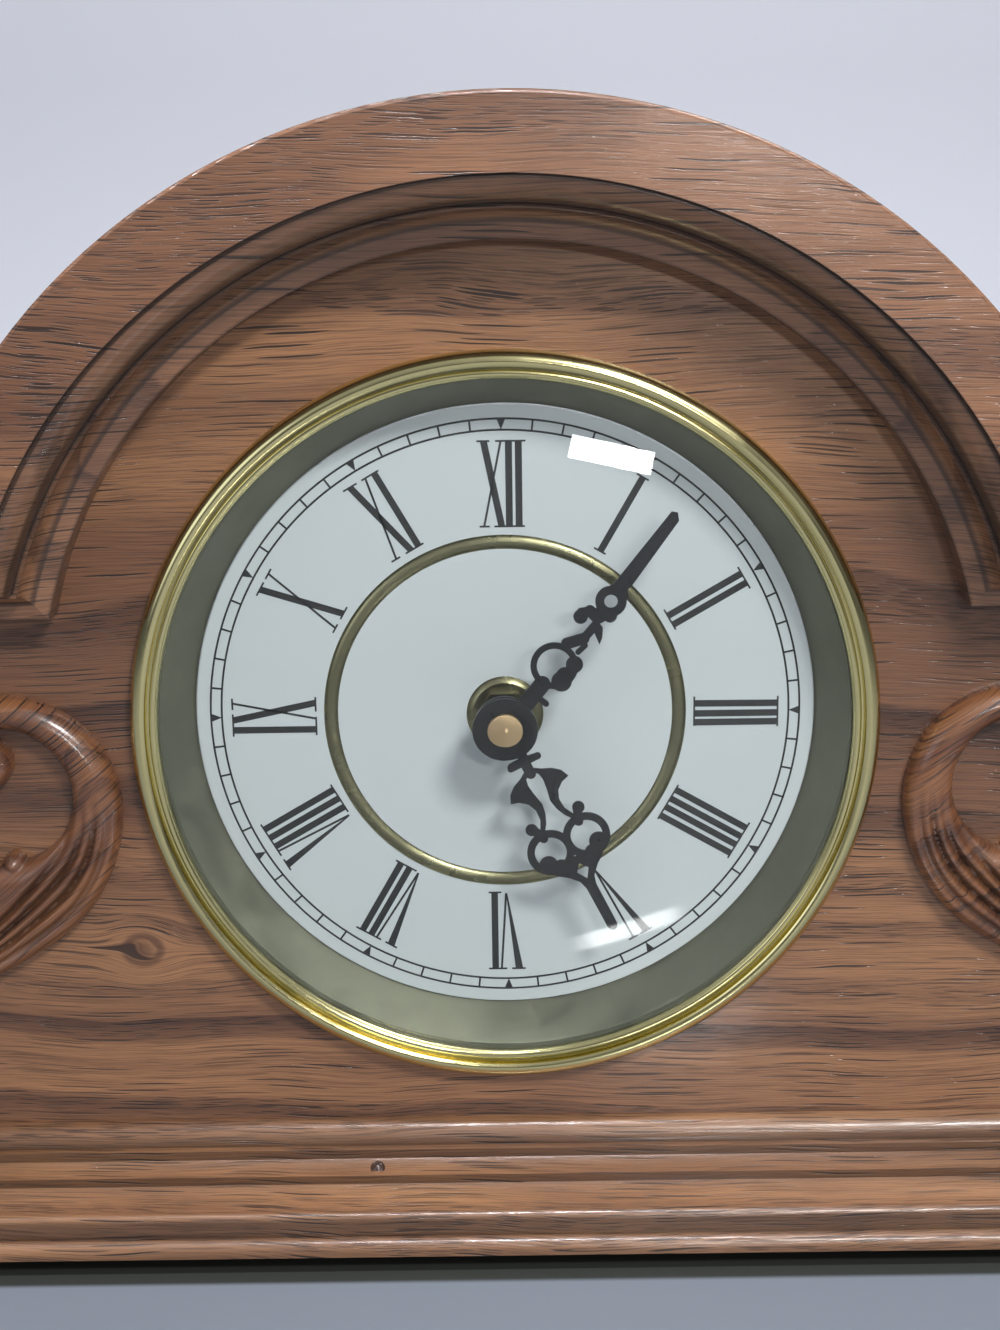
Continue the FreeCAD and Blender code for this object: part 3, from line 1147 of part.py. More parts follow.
def make_motor():
    """The stator, coil and circuit board, the cell and its two contacts."""
    half = s.stator_length / 2
    across, up = pivots[3]
    low = up - s.magnet_radius - s.magnet_gap - s.stator_sheet * 2
    window = up + s.magnet_radius + s.magnet_gap + s.stator_sheet * 2
    core = window + s.coil_radius
    body = body_at("stator", s.dial_shift, layer_y(s.stator_layer), s.dial_height)
    drawing = sketch(body, "XZ_Plane", rectangle((-half, low),
                                                 (half, core + s.core_width / 2)))
    draw(drawing, rectangle((-s.coil_length / 2 - s.end_shake, window),
                            (s.coil_length / 2 + s.end_shake, core - s.core_width / 2)))
    ring(drawing, across, up, s.magnet_radius + s.magnet_gap)
    feature(body, "Pad", drawing, Length=s.stator_sheet, Reversed=True)
    middle = layer_y(s.stator_layer + s.stator_sheet / 2)
    left = s.dial_shift - s.coil_length / 2
    winding = rod("winding", s.coil_radius, s.coil_length, left, middle, s.dial_height + core,
                  along="x")
    bore = rod("bore", s.coil_bore, s.coil_length + s.overrun * 2, left - s.overrun, middle,
               s.dial_height + core, along="x")
    made.append(less("coil", winding, [bore]))
    chamber = s.movement_front_depth + s.movement_back_depth - s.movement_wall * 2
    board_x = s.dial_shift + s.circuit_offset
    made.append(box("circuit_board", (
        board_x - s.circuit_width / 2, layer_y(chamber - s.circuit_sheet),
        s.dial_height - s.circuit_height / 2), (
        board_x + s.circuit_width / 2, layer_y(chamber), s.dial_height + s.circuit_height / 2)))
    inner = s.movement_side / 2 - s.movement_wall
    cell_length = (inner - s.contact_sheet) * 2 - s.cell_button_length - s.cell_clearance
    centre_z = s.dial_height - inner + s.cell_lift + s.cell_radius
    centre_y = layer_y(s.cell_lift + s.cell_radius)
    cell_x = s.dial_shift + inner - s.contact_sheet - s.cell_button_length - cell_length
    can = rod("can", s.cell_radius, cell_length, cell_x, centre_y, centre_z, along="x")
    button = rod("button", s.cell_button_radius, s.cell_button_length,
                 cell_x + cell_length, centre_y, centre_z, along="x")
    cell = joined("battery", [can, button])
    made.append(cell)
    plates = []
    for low_x in (s.dial_shift - inner, s.dial_shift + inner - s.contact_sheet):
        plates.append(box("plate", (
            low_x, centre_y - s.contact_side / 2, centre_z - s.contact_side / 2), (
            low_x + s.contact_sheet, centre_y + s.contact_side / 2,
            centre_z + s.contact_side / 2)))
    boss = rod("boss", s.cell_button_radius, s.contact_boss, s.dial_shift - inner, centre_y,
               centre_z, along="x")
    group("battery_contacts", [joined("sprung_contact", [plates[0], boss]), plates[1]])


def turned_point(across, along, turn):
    """A point of a hand, turned clockwise from twelve; depth is set by the extrusion."""
    return Vector(across * math.cos(turn) + along * math.sin(turn), 0,
                  along * math.cos(turn) - across * math.sin(turn))


def hand_sheet(length, degrees, bars, discs, rings, plates, holes):
    """A pierced hand as one sheet, its parts given as shares of its length."""
    turn = math.radians(degrees)
    thick = Vector(0, -s.hand_sheet.value, 0)
    scale = length.value

    def disc(across, along, radius):
        circle = Part.Circle(turned_point(across * scale, along * scale, turn),
                             Vector(0, 1, 0), radius * scale)
        return Part.Face(Part.Wire(circle.toShape())).extrude(thick)

    def plate(corners):
        points = [turned_point(a * scale, b * scale, turn) for a, b in corners]
        return Part.Face(Part.makePolygon(points + points[:1])).extrude(thick)

    solids = [plate(corners) for corners in plates]
    solids += [disc(*row) for row in discs]
    for x1, w1, x2, w2, width in bars:
        run, rise = x2 - x1, w2 - w1
        reach = math.hypot(run, rise)
        side_x, side_w = -rise / reach * width / 2, run / reach * width / 2
        solids.append(plate([(x1 + side_x, w1 + side_w), (x2 + side_x, w2 + side_w),
                             (x2 - side_x, w2 - side_w), (x1 - side_x, w1 - side_w)]))
        solids += [disc(x1, w1, width / 2), disc(x2, w2, width / 2)]
    for across, along, outer, inner in rings:
        solids.append(disc(across, along, outer).cut(disc(across, along, inner)))
    shape = solids[0].fuse(solids[1:])
    for corners in holes:
        shape = shape.cut(plate(corners))
    return shape.removeSplitter()


def mirrored(rows):
    """Rows of shares with their mirror images."""
    return rows + tuple((-row[0],) + row[1:] for row in rows)


def make_hands():
    """Both pierced hands with their bosses, the minute hand's collet and the cap nut."""
    wings = (HOUR_HALF_SHARES, tuple((-a, b) for a, b in HOUR_HALF_SHARES), HOUR_HEAD_SHARES,
             tuple((-a, b) for a, b in HOUR_HEAD_SHARES))
    bars = HOUR_BAR_SHARES + tuple((-a, b, -c, d, e) for a, b, c, d, e in HOUR_BAR_SHARES[2:])
    blade = hand_sheet(s.hour_length, HOUR_ANGLE, bars, mirrored(HOUR_DISC_SHARES),
                       mirrored(HOUR_RING_SHARES), wings, (HOUR_HOLE_SHARES,))
    thick, rise = s.hand_sheet.value, s.boss_rise.value
    blade = blade.fuse(bar(s.hour_boss_radius.value, -thick - rise, 0))
    blade = blade.cut(bar((pipe_radius + s.press_fit).value, -thick * 3, thick))
    shaped("hour_hand", blade, s.dial_shift, dial_y - s.hour_plane, s.dial_height)
    blade = hand_sheet(s.minute_length, MINUTE_ANGLE, MINUTE_BAR_SHARES, MINUTE_DISC_SHARES,
                       MINUTE_RING_SHARES, (MINUTE_LEAF_SHARES, MINUTE_BLADE_SHARES), ())
    back = (s.minute_plane - s.pipe_reach - s.collet_gap).value
    blade = blade.fuse([bar(s.minute_boss_radius.value, -thick - rise, 0),
                        bar(s.collet_radius.value, 0, back)])
    blade = blade.cut(bar((arbor_radius + s.press_fit).value, -thick * 3, back + thick))
    shaped("minute_hand", blade, s.dial_shift, dial_y - s.minute_plane, s.dial_height)
    bore = arbor_radius + s.press_fit
    face = -(s.minute_plane + s.hand_sheet + s.boss_rise)
    shoulder = face - s.cap_neck
    rim = shoulder - s.cap_height + s.cap_dome
    turned("cap_nut", [
        (face, bore), (face, s.cap_neck_radius), (shoulder, s.cap_neck_radius),
        (shoulder, s.cap_radius),
        (rim, s.cap_radius, sweep_radius(s.cap_radius, s.cap_dome), 1),
        (rim - s.cap_dome, ZERO), (-s.arbor_reach - s.press_fit, ZERO),
        (-s.arbor_reach - s.press_fit, bore)], *DIAL)


def write_parts():
    """Recomputes the model, refuses any failed piece, then writes one file a piece."""
    document.recompute()
    for item in document.Objects:
        if {"Invalid", "Error"} & set(item.State):
            raise RuntimeError("failed: %s %s" % (item.Name, item.State))
    for item in made:
        if item.Shape.isNull() or not item.Shape.isValid():
            raise RuntimeError("no valid shape: " + item.Label)
    os.makedirs("parts", exist_ok=True)
    for item in made:
        item.Shape.exportStep(os.path.join("parts", item.Label + ".step"))
        print("%-22s %10.1f mm3 %3d solids" % (item.Label, item.Shape.Volume,
                                               len(item.Shape.Solids)))


make_front_panel()
make_wrap()
make_hood()
make_base()
make_scrolls()
make_back()
make_hinges()
make_dial_insert()
make_movement_case()
make_train()
make_motor()
make_hands()
write_parts()
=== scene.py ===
"""The oak mantel clock as its photograph shows it: carving, printed dial, finishes, studio."""
from __future__ import annotations

import json
import logging
import math
from dataclasses import dataclass
from enum import Enum
from typing import Any, Sequence

import bmesh
import bpy
import numpy as np
from mathutils import Matrix, Quaternion, Vector

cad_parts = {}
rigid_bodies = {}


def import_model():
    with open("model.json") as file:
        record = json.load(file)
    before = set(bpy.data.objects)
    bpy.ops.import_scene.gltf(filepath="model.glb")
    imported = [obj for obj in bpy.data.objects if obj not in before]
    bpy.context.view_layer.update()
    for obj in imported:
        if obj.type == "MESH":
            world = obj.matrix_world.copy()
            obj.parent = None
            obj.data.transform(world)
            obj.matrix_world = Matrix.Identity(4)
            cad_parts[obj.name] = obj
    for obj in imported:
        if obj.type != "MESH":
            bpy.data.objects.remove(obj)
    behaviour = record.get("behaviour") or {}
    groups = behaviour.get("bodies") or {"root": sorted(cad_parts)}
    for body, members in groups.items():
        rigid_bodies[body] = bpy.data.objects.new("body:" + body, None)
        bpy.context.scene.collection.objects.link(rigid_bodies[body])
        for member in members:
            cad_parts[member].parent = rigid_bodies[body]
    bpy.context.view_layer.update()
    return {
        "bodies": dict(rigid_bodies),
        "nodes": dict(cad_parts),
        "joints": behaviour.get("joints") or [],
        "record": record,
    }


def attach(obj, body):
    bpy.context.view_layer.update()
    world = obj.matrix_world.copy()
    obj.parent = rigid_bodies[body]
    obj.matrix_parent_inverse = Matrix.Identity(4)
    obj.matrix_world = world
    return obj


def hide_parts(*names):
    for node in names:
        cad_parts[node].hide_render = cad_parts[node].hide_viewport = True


log = logging.getLogger("mantel_clock")

# Sizes and places here are in millimetres, and the scene is in metres.
MM = 0.001
DIAL_CENTRE = (-1.3, -13.2, 115.0)
PANEL_FRONT = -24.5

Point = tuple[float, float]
Triple = tuple[float, float, float]
Face = tuple[int, ...]
Socket = bpy.types.NodeSocket


def colour(code: str) -> tuple[float, float, float, float]:
    """Turns an sRGB colour to linear.

    Args:
        code: a number sign and six hex digits.

    Returns:
        Red, green and blue, with full opacity.
    """
    parts = []
    for start in (0, 2, 4):
        value = int(code.lstrip("#")[start:start + 2], 16) / 255
        parts.append(value / 12.92 if value <= 0.04045 else ((value + 0.055) / 1.055) ** 2.4)
    return parts[0], parts[1], parts[2], 1.0


def greys(stops: Sequence[Point], length: float = 1.0) -> list[tuple[float, Any]]:
    """Turns pairs of place and strength along a length to a colour ramp's stops."""
    return [(place / length, (grey, grey, grey, 1.0)) for place, grey in stops]


def band(here: int, after: int, count: int) -> list[Face]:
    """Faces between two rings of corners, whose numbers start at here and after."""
    return [(here + index, here + (index + 1) % count, after + (index + 1) % count,
             after + index) for index in range(count)]


# A value that is stretched from one span to another, with the change eased at both ends.
EASED = "MapRange SMOOTHSTEP"


class Graph:
    """A node tree that is being built."""

    # What the second word of a node's kind sets.
    MODES = {"Math": "operation", "VectorMath": "operation", "Mix": "data_type",
             "MapRange": "interpolation_type", "TexNoise": "noise_dimensions",
             "TexVoronoi": "voronoi_dimensions"}

    def __init__(self, tree: bpy.types.NodeTree) -> None:
        """Takes a tree and empties it."""
        self.tree = tree
        self.tree.nodes.clear()

    def add(self, kind: str, *values: Any, stops: Sequence[tuple[float, Any]] = (),
            **settings: Any) -> bpy.types.Node:
        """Adds a node.

        Args:
            kind: the node's type, for a shader node without its "ShaderNode" prefix, and
                in a second word its mode.
            values: a value, or an output to link, for each input in use in turn; or one
                dictionary of them by input name or number.
            stops: position and colour of each stop of a colour ramp.
            settings: the node's own properties.

        Returns:
            The new node.
        """
        kind, _, mode = kind.partition(" ")
        whole = kind.startswith(("GeometryNode", "NodeGroup"))
        node = self.tree.nodes.new(kind if whole else "ShaderNode" + kind)
        if mode:
            settings[self.MODES[kind]] = mode
        for name, value in settings.items():
            setattr(node, name, value)
        pairs = zip([socket for socket in node.inputs if socket.enabled], values)
        if values and isinstance(values[0], dict):
            pairs = [(node.inputs[key], value) for key, value in values[0].items()]
        for socket, value in pairs:
            if isinstance(value, bpy.types.NodeSocket):
                self.tree.links.new(value, socket)
            else:
                socket.default_value = value
        if stops:
            ramp = node.color_ramp.elements
            while len(ramp) < len(stops):
                ramp.new(0.5)
            for element, (place, shade) in zip(ramp, stops):
                element.position = place
                element.color = shade
        return node

    def out(self, kind: str, *values: Any, **settings: Any) -> Socket:
        """Adds a node and gives its first output in use."""
        node = self.add(kind, *values, **settings)
        return next(socket for socket in node.outputs if socket.enabled)

    def length(self, *legs: Socket) -> Socket:
        """The long side over two legs at a right angle."""
        squares = [self.out("Math MULTIPLY", leg, leg) for leg in legs]
        return self.out("Math SQRT", self.out("Math ADD", *squares))


class MaterialGraph(Graph):
    """The node tree of one material."""

    def __init__(self, name: str) -> None:
        """Makes an empty material.

        Args:
            name: its name.
        """
        self.material = bpy.data.materials.new(name)
        self.material.use_nodes = True
        super().__init__(self.material.node_tree)

    def place(self, centre: Sequence[float] = (0.0, 0.0, 0.0),
              turn: Sequence[float] = (0.0, 0.0, 0.0)) -> Socket:
        """Gives the place on the object in millimetres.

        Args:
            centre: what is taken off after the turn, in millimetres.
            turn: rotation in degrees that brings the pattern's own axes in line.

        Returns:
            The output that carries the place.
        """
        source = self.add("TexCoord").outputs["Object"]
        scale = 1 / MM
        return self.add("Mapping", {
            "Vector": source, "Location": [-value for value in centre],
            "Rotation": [math.radians(value) for value in turn],
            "Scale": (scale, scale, scale)}).outputs["Vector"]

    def finish(self, shader: Socket) -> bpy.types.Material:
        """Links a shader to the output and gives the material."""
        self.add("OutputMaterial", {"Surface": shader})
        return self.material


class Grain(Enum):
    """Which way a board's grain runs, as the turn that lays it along X."""

    ACROSS = (0.0, 0.0, 0.0)
    BACKWARDS = (0.0, 0.0, -90.0)
    UPRIGHT = (0.0, 90.0, 0.0)
    RISING = (0.0, 38.0, 0.0)


@dataclass(frozen=True)
class ArchEdgeShade:
    """Painted shade in dark lines along the creases of the hood's moulded edge.

    The edge runs round the opening and, at the hood's feet, level; stops give how dark the
    painted shade is at each distance from the opening into the wood.
    """

    height: float = 118.8
    radius: float = 98.5
    foot: float = 141.7
    reach: float = 13.0
    stops: tuple[Point, ...] = (
        (0.0, 0.45), (0.15, 0.45), (0.5, 0.0), (2.9, 0.0), (3.3, 0.7), (3.8, 0.6), (4.4, 0.0),
        (6.4, 0.0), (6.7, 0.85), (7.1, 0.8), (7.6, 0.12), (10.9, 0.1), (11.2, 0.6),
        (11.9, 0.6), (12.1, 0.0))


@dataclass(frozen=True)
class RedOak:
    """Flat-sawn red oak, stained brown and sprayed with a thin gloss lacquer.

    The growth rings come round an axis behind the board, so a face shows long cathedral
    figure where it runs level with the rings and close lines away from it. Open pores stay
    as fine dark lines, because the lacquer doesn't fill them, and painted shade darkens the
    corners of mouldings and carving.

    heart is the rings' axis (depth, height), and lean its tilt in degrees. stripe is a
    darker band (height, half width, strength), knot a knot (across, height, radius) and bend
    an arch that the grain follows (its centre's height, its radius). depth_share counts
    depth as height, for faces that look up. The riser fields give how much painted shade
    darkens upright faces and the height above which it starts; edge lays painted shade along the
    hood's moulded edge.
    """

    name: str
    grain: Grain = Grain.ACROSS
    heart: Point = (62.0, 150.0)
    lean: float = 2.2
    ring_pitch: float = 9.0
    light: str = "#A37650"
    middle: str = "#7A553E"
    dark: str = "#43291E"
    pore: str = "#241813"
    gloss: float = 0.55
    stripe: Triple = (0.0, 1.0, 0.0)
    knot: Triple = (0.0, 9000.0, 1.0)
    depth_share: float = 0.0
    riser_shade: float = 0.0
    riser_foot: float = 6.6
    edge: ArchEdgeShade | None = None
    bend: Point | None = None

    def build(self) -> bpy.types.Material:
        """Builds the material."""
        return OakPattern(self).build()


class OakPattern:
    """The node tree of one board, from the run of its lines to its knot and painted shade."""

    # How the lines stray from straight: features a millimetre, detail, reach in millimetres.
    WAVES = (((0.005, 0.004, 0.012), 2.0, 26.0), ((0.022, 0.02, 0.06), 1.0, 4.0),
             ((0.09, 0.05, 0.2), 1.0, 0.6))
    # How far the first of them shifts the rings in depth, in millimetres.
    DEPTH_SWING = 18.0
    # A knot is longer along the grain, and the lines bulge round it for a few of its radii.
    KNOT_ALONG, KNOT_RADII, KNOT_BULGE = 0.7, 3.6, 0.85
    # Early wood starts sharply and fades through the year.
    YEAR = ((0.0, 0.1), (0.05, 1.0), (0.3, 0.6), (0.6, 0.1), (1.0, 0.0))
    # Pores are 0.2 mm wide in the tree. They are drawn at up to 0.4 mm, so that they don't
    # flicker: the length and width of the cell round each, and how much of it it fills.
    LONG_PORES, SHORT_PORES = (40.0, 1.0, 0.21), (11.0, 0.42, 0.28)
    # Fibres and clouds of tone, in features a millimetre along and across the grain.
    FIBRE, CLOUD = (0.035, 3.6, 1.0), (0.008, 0.05, 1.0)
    # How far painted shade reaches out of a corner, and how deep the open pores are.
    CORNER, SKIN_DEPTH = 7.0, 0.12

    def __init__(self, board: RedOak) -> None:
        """Lays out the board's directions and works out how its lines run.

        Args:
            board: the board's figure and finish.
        """
        self.board = board
        self.graph = graph = MaterialGraph(board.name)
        self.place = graph.place(turn=board.grain.value)
        if board.bend:
            self.place = self.follow_bend(*board.bend)
        self.along, self.depth, self.height = graph.add("SeparateXYZ", self.place).outputs
        x, z, size = board.knot
        across = graph.out("Math SUBTRACT", self.along, x)
        rise = graph.out("Math SUBTRACT", self.height, z)
        stretched = graph.out("Math MULTIPLY", graph.out("Math MULTIPLY", across, across),
                              self.KNOT_ALONG)
        self.reach = graph.out("Math SQRT", graph.out("Math ADD", stretched,
                                                      graph.out("Math MULTIPLY", rise, rise)))
        bulge = graph.out(EASED, self.reach, 0.0, size * self.KNOT_RADII, self.KNOT_BULGE, 0.0)
        level = graph.out("Math MULTIPLY_ADD", graph.out("Math MULTIPLY", rise, bulge), -1.0,
                          self.height)
        level = graph.out("Math MULTIPLY_ADD", self.depth, board.depth_share, level)
        waves = []
        for stretch, detail, swing in self.WAVES:
            waves.append(graph.out("Math SUBTRACT", self.noise(self.place, stretch, detail), 0.5))
            level = graph.out("Math MULTIPLY_ADD", waves[-1], swing, level)
        self.wander, self.level = waves[0], level
        self.flat = graph.out("CombineXYZ", self.along, level)

    def follow_bend(self, height: float, radius: float) -> Socket:
        """Lays the grain round an arch, as in a strip that was steamed and bent.

        Args:
            height: the height of the arch's centre.
            radius: the arch's radius.

        Returns:
            The place along the bend, out from its centre, and from front to back.
        """
        graph = self.graph
        parts = graph.add("SeparateXYZ", self.place).outputs
        up = graph.out("Math SUBTRACT", parts[2], height)
        along = graph.out("Math MULTIPLY", graph.out("Math ARCTAN2", parts[0], up), radius)
        return graph.out("CombineXYZ", along, graph.length(parts[0], up), parts[1])

    def noise(self, vector: Socket, stretch: Sequence[float], detail: float,
              roughness: float = 0.5) -> Socket:
        """Noise with its own scale in each direction.

        Args:
            vector: the place in millimetres.
            stretch: features a millimetre, in each direction.
            detail: how many finer layers it has.
            roughness: how strong these are.

        Returns:
            The noise, about 0.5.
        """
        scaled = self.graph.out("VectorMath MULTIPLY", vector, stretch)
        return self.graph.out("TexNoise", {"Vector": scaled, "Scale": 1.0, "Detail": detail,
                                           "Roughness": roughness})

    def dashes(self, length: float, width: float, size: float) -> Socket:
        """Thin tapered lines scattered along the grain, each of its own darkness.

        Args:
            length: the cell that holds one line, along the grain, in millimetres.
            width: the same cell across the grain.
            size: how much of the cell the line fills.

        Returns:
            The lines' strength.
        """
        graph = self.graph
        cells = graph.out("VectorMath MULTIPLY", self.flat, (1 / length, 1 / width, 0.0))
        lines = graph.add("TexVoronoi 2D", {"Vector": cells, "Scale": 1.0}).outputs
        own = graph.out("SeparateColor", lines["Color"])
        mask = graph.out(EASED, lines["Distance"], size * 0.75, size, 1.0, 0.0)
        return graph.out("Math MULTIPLY", mask, graph.out(EASED, own, 0.0, 1.0, 0.3, 1.0))

    def rings(self) -> tuple[Socket, Socket]:
        """Works out the growth rings' round section, seen from the face.

        Returns:
            How open the wood's pores are, and how dark its year is.
        """
        board, graph = self.board, self.graph
        depth, height = board.heart
        leaning = graph.out("Math MULTIPLY_ADD", self.along, math.tan(math.radians(board.lean)),
                            self.level)
        far = graph.out("Math MULTIPLY_ADD", self.wander, self.DEPTH_SWING,
                        graph.out("Math SUBTRACT", self.depth, depth))
        radius = graph.length(far, graph.out("Math SUBTRACT", leaning, height))
        phase = graph.out("Math FRACT", graph.out("Math DIVIDE", radius, board.ring_pitch))
        early = graph.out("ValToRGB", {0: phase}, stops=greys(self.YEAR))
        year = graph.out("TexNoise 1D", {"W": radius, "Scale": 0.75 / board.ring_pitch,
                                         "Detail": 1.0})
        return graph.out("Math MULTIPLY", early, graph.out(EASED, year, 0.4, 0.6, 0.25, 1.0)), year

    def pores(self, dense: Socket) -> Socket:
        """Scatters long pores, and short ones that crowd into the early wood.

        Args:
            dense: how open the wood's pores are.

        Returns:
            The pores' strength.
        """
        share = self.graph.out(EASED, dense, 0.05, 0.5, 0.2, 1.0)
        short = self.graph.out("Math MULTIPLY", self.dashes(*self.SHORT_PORES), share)
        return self.graph.out("Math MAXIMUM", self.dashes(*self.LONG_PORES), short)

    def wood(self, dense: Socket, year: Socket, fibre: Socket) -> Socket:
        """Mixes the wood's own colours.

        Args:
            dense: how open its pores are.
            year: how dark its year is.
            fibre: its fibres.

        Returns:
            The colour without pores and stain.
        """
        board, graph = self.board, self.graph
        light, middle, dark = (colour(code) for code in (board.light, board.middle,
                                                         board.dark))
        where, width, strength = board.stripe
        gap = graph.out("Math ABSOLUTE", graph.out("Math SUBTRACT", self.level, where))
        stripe = graph.out(EASED, gap, width * 0.72, width * 1.15, strength, 0.0)
        cloud = graph.out(EASED, self.noise(self.flat, self.CLOUD, 2.0), 0.36, 0.66, 0.0, 0.6)
        tone = graph.out("Math MAXIMUM", graph.out("Math MAXIMUM", cloud, stripe),
                         graph.out("Math MULTIPLY", graph.out(EASED, year, 0.5, 0.66), 0.75))
        shade = graph.out("Mix RGBA", tone, graph.out("Mix RGBA", dense, light, middle),
                          graph.out("Mix RGBA", dense, middle, dark))
        return graph.out("Mix RGBA", graph.out(EASED, fibre, 0.4, 0.7, 0.0, 0.72), shade, dark)

    def corners(self) -> Socket:
        """Finds where faces close in on each other.

        Returns:
            How much painted shade darkens them there.
        """
        # Painted shade: ambient occlusion darkens corners and recesses towards the pore colour.
        share = self.graph.add("AmbientOcclusion", {"Distance": self.CORNER * MM}, samples=5,
                               only_local=True).outputs["AO"]
        return self.graph.out(EASED, share, 0.4, 1.0, 0.65, 0.0)

    def painted_riser_shade(self) -> Socket:
        """Finds the upright faces over the moulding's toe.

        Returns:
            How much painted shade darkens them.
        """
        board, graph = self.board, self.graph
        # Painted shade: upright faces are made darker than faces that look up, as light from above
        # would leave them.
        facing = graph.add("NewGeometry").outputs["Normal"]
        upward = graph.add("SeparateXYZ", facing).outputs[2]
        upright = graph.out(EASED, upward, 0.25, 0.75, board.riser_shade, 0.0)
        above = graph.out(EASED, self.height, board.riser_foot - 0.5, board.riser_foot + 0.5)
        return graph.out("Math MULTIPLY", upright, above)

    def edges(self, edge: ArchEdgeShade) -> Socket:
        """Follows the hood's moulded edge.

        Args:
            edge: where it runs, and how dark it is.

        Returns:
            How much painted shade lies along it.
        """
        graph = self.graph
        # Painted shade: dark lines along the creases of the hood's moulding and at its lip.
        radius = graph.length(self.along, graph.out("Math SUBTRACT", self.height, edge.height))
        inward = graph.out("Math MINIMUM", graph.out("Math SUBTRACT", radius, edge.radius),
                           graph.out("Math SUBTRACT", self.height, edge.foot))
        return graph.out("ValToRGB", {0: graph.out("Math DIVIDE", inward, edge.reach)},
                         stops=greys(edge.stops, edge.reach))

    def knot_and_painted_shade(self, shade: Socket) -> Socket:
        """Darkens the knot, and then paints shade into corners, upright faces and creases.

        Args:
            shade: the wood's colour with its pores.

        Returns:
            The finished colour.
        """
        board, graph = self.board, self.graph
        size = board.knot[2]
        ring = graph.out("Math ABSOLUTE", graph.out("Math SUBTRACT", self.reach, size))
        ring = graph.out(EASED, ring, size * 0.05, size * 0.45, 0.6, 0.0)
        core = graph.out(EASED, self.reach, size * 0.2, size, 0.5, 0.0)
        knot = graph.out("Math MAXIMUM", ring, core)
        shade = graph.out("Mix RGBA", knot, shade, colour(board.dark))
        # Painted shade: corners, upright faces and the hood's creases are darkened towards the
        # pore colour.
        shares = [self.corners()]
        if board.riser_shade:
            shares.append(self.painted_riser_shade())
        if board.edge:
            shares.append(self.edges(board.edge))
        for share in shares:
            shade = graph.out("Mix RGBA", share, shade, colour(board.pore))
        return shade

    def build(self) -> bpy.types.Material:
        """Builds the material.

        Returns:
            The material.
        """
        board, graph = self.board, self.graph
        dense, year = self.rings()
        pores = self.pores(dense)
        fibre = self.noise(self.flat, self.FIBRE, 4.0, roughness=0.68)
        shade = graph.out("Mix RGBA", graph.out("Math MULTIPLY", pores, 0.95),
                          self.wood(dense, year, fibre), colour(board.pore))
        skin = graph.out("Math SUBTRACT", graph.out("Math MULTIPLY", fibre, 0.35), pores)
        bump = graph.out("Bump", {"Height": skin, "Strength": 0.6,
                                  "Distance": self.SKIN_DEPTH * MM})
        return graph.finish(graph.out("BsdfPrincipled", {
            "Base Color": self.knot_and_painted_shade(shade),
            "Roughness": graph.out(EASED, fibre, 0.3, 0.7, 0.36, 0.5), "Normal": bump,
            "Coat Weight": board.gloss, "Coat Roughness": 0.12, "Coat Normal": bump}))


@dataclass(frozen=True)
class TurnedMetal:
    """Metal turned or spun about the dial's axis.

    Its fine tool lines spread each highlight across the ring, and faint smudges break it
    up. line_pitch and line_depth are in millimetres, and smudges in features a millimetre.
    """

    name: str
    hue: str
    roughness: float
    line_pitch: float = 0.35
    line_depth: float = 0.004
    smudges: float = 0.09

    def build(self) -> bpy.types.Material:
        """Builds the material.

        Returns:
            The material.
        """
        graph = MaterialGraph(self.name)
        place = graph.place((DIAL_CENTRE[0], 0.0, DIAL_CENTRE[2]))
        across, _, up = graph.add("SeparateXYZ", place).outputs
        lines = graph.out("TexNoise 1D", {"W": graph.length(across, up), "Detail": 2.0,
                                          "Scale": 1 / self.line_pitch})
        bump = graph.out("Bump", {"Height": lines, "Strength": 1.0,
                                  "Distance": self.line_depth * MM})
        smudge = graph.out("TexNoise", {"Vector": place, "Scale": self.smudges,
                                        "Detail": 3.0})
        rough = graph.out("MapRange", smudge, 0.3, 0.7, self.roughness * 0.8,
                          self.roughness * 1.3)
        return graph.finish(graph.out("BsdfPrincipled", {
            "Base Color": colour(self.hue), "Metallic": 1.0, "Roughness": rough,
            "Normal": bump}))


@dataclass(frozen=True)
class Surface:
    """A plain material with a soft mottle in its gloss and a fine grain in its skin."""

    name: str
    hue: str
    roughness: float
    metallic: float = 0.0
    grain_pitch: float = 1.0
    grain_depth: float = 0.0
    gloss: float = 0.0

    def build(self) -> bpy.types.Material:
        """Builds the material.

        Returns:
            The material.
        """
        graph = MaterialGraph(self.name)
        grain = graph.out("TexNoise", {"Vector": graph.place(), "Scale": 1 / self.grain_pitch,
                                       "Detail": 2.0})
        inputs: dict[str | int, Any] = {
            "Base Color": colour(self.hue), "Metallic": self.metallic,
            "Roughness": graph.out("MapRange", grain, 0.3, 0.7, self.roughness * 0.85,
                                   self.roughness * 1.2),
            "Coat Weight": self.gloss, "Coat Roughness": 0.1}
        if self.grain_depth:
            inputs["Normal"] = graph.out("Bump", {"Height": grain, "Strength": 1.0,
                                                  "Distance": self.grain_depth * MM})
        return graph.finish(graph.out("BsdfPrincipled", inputs))


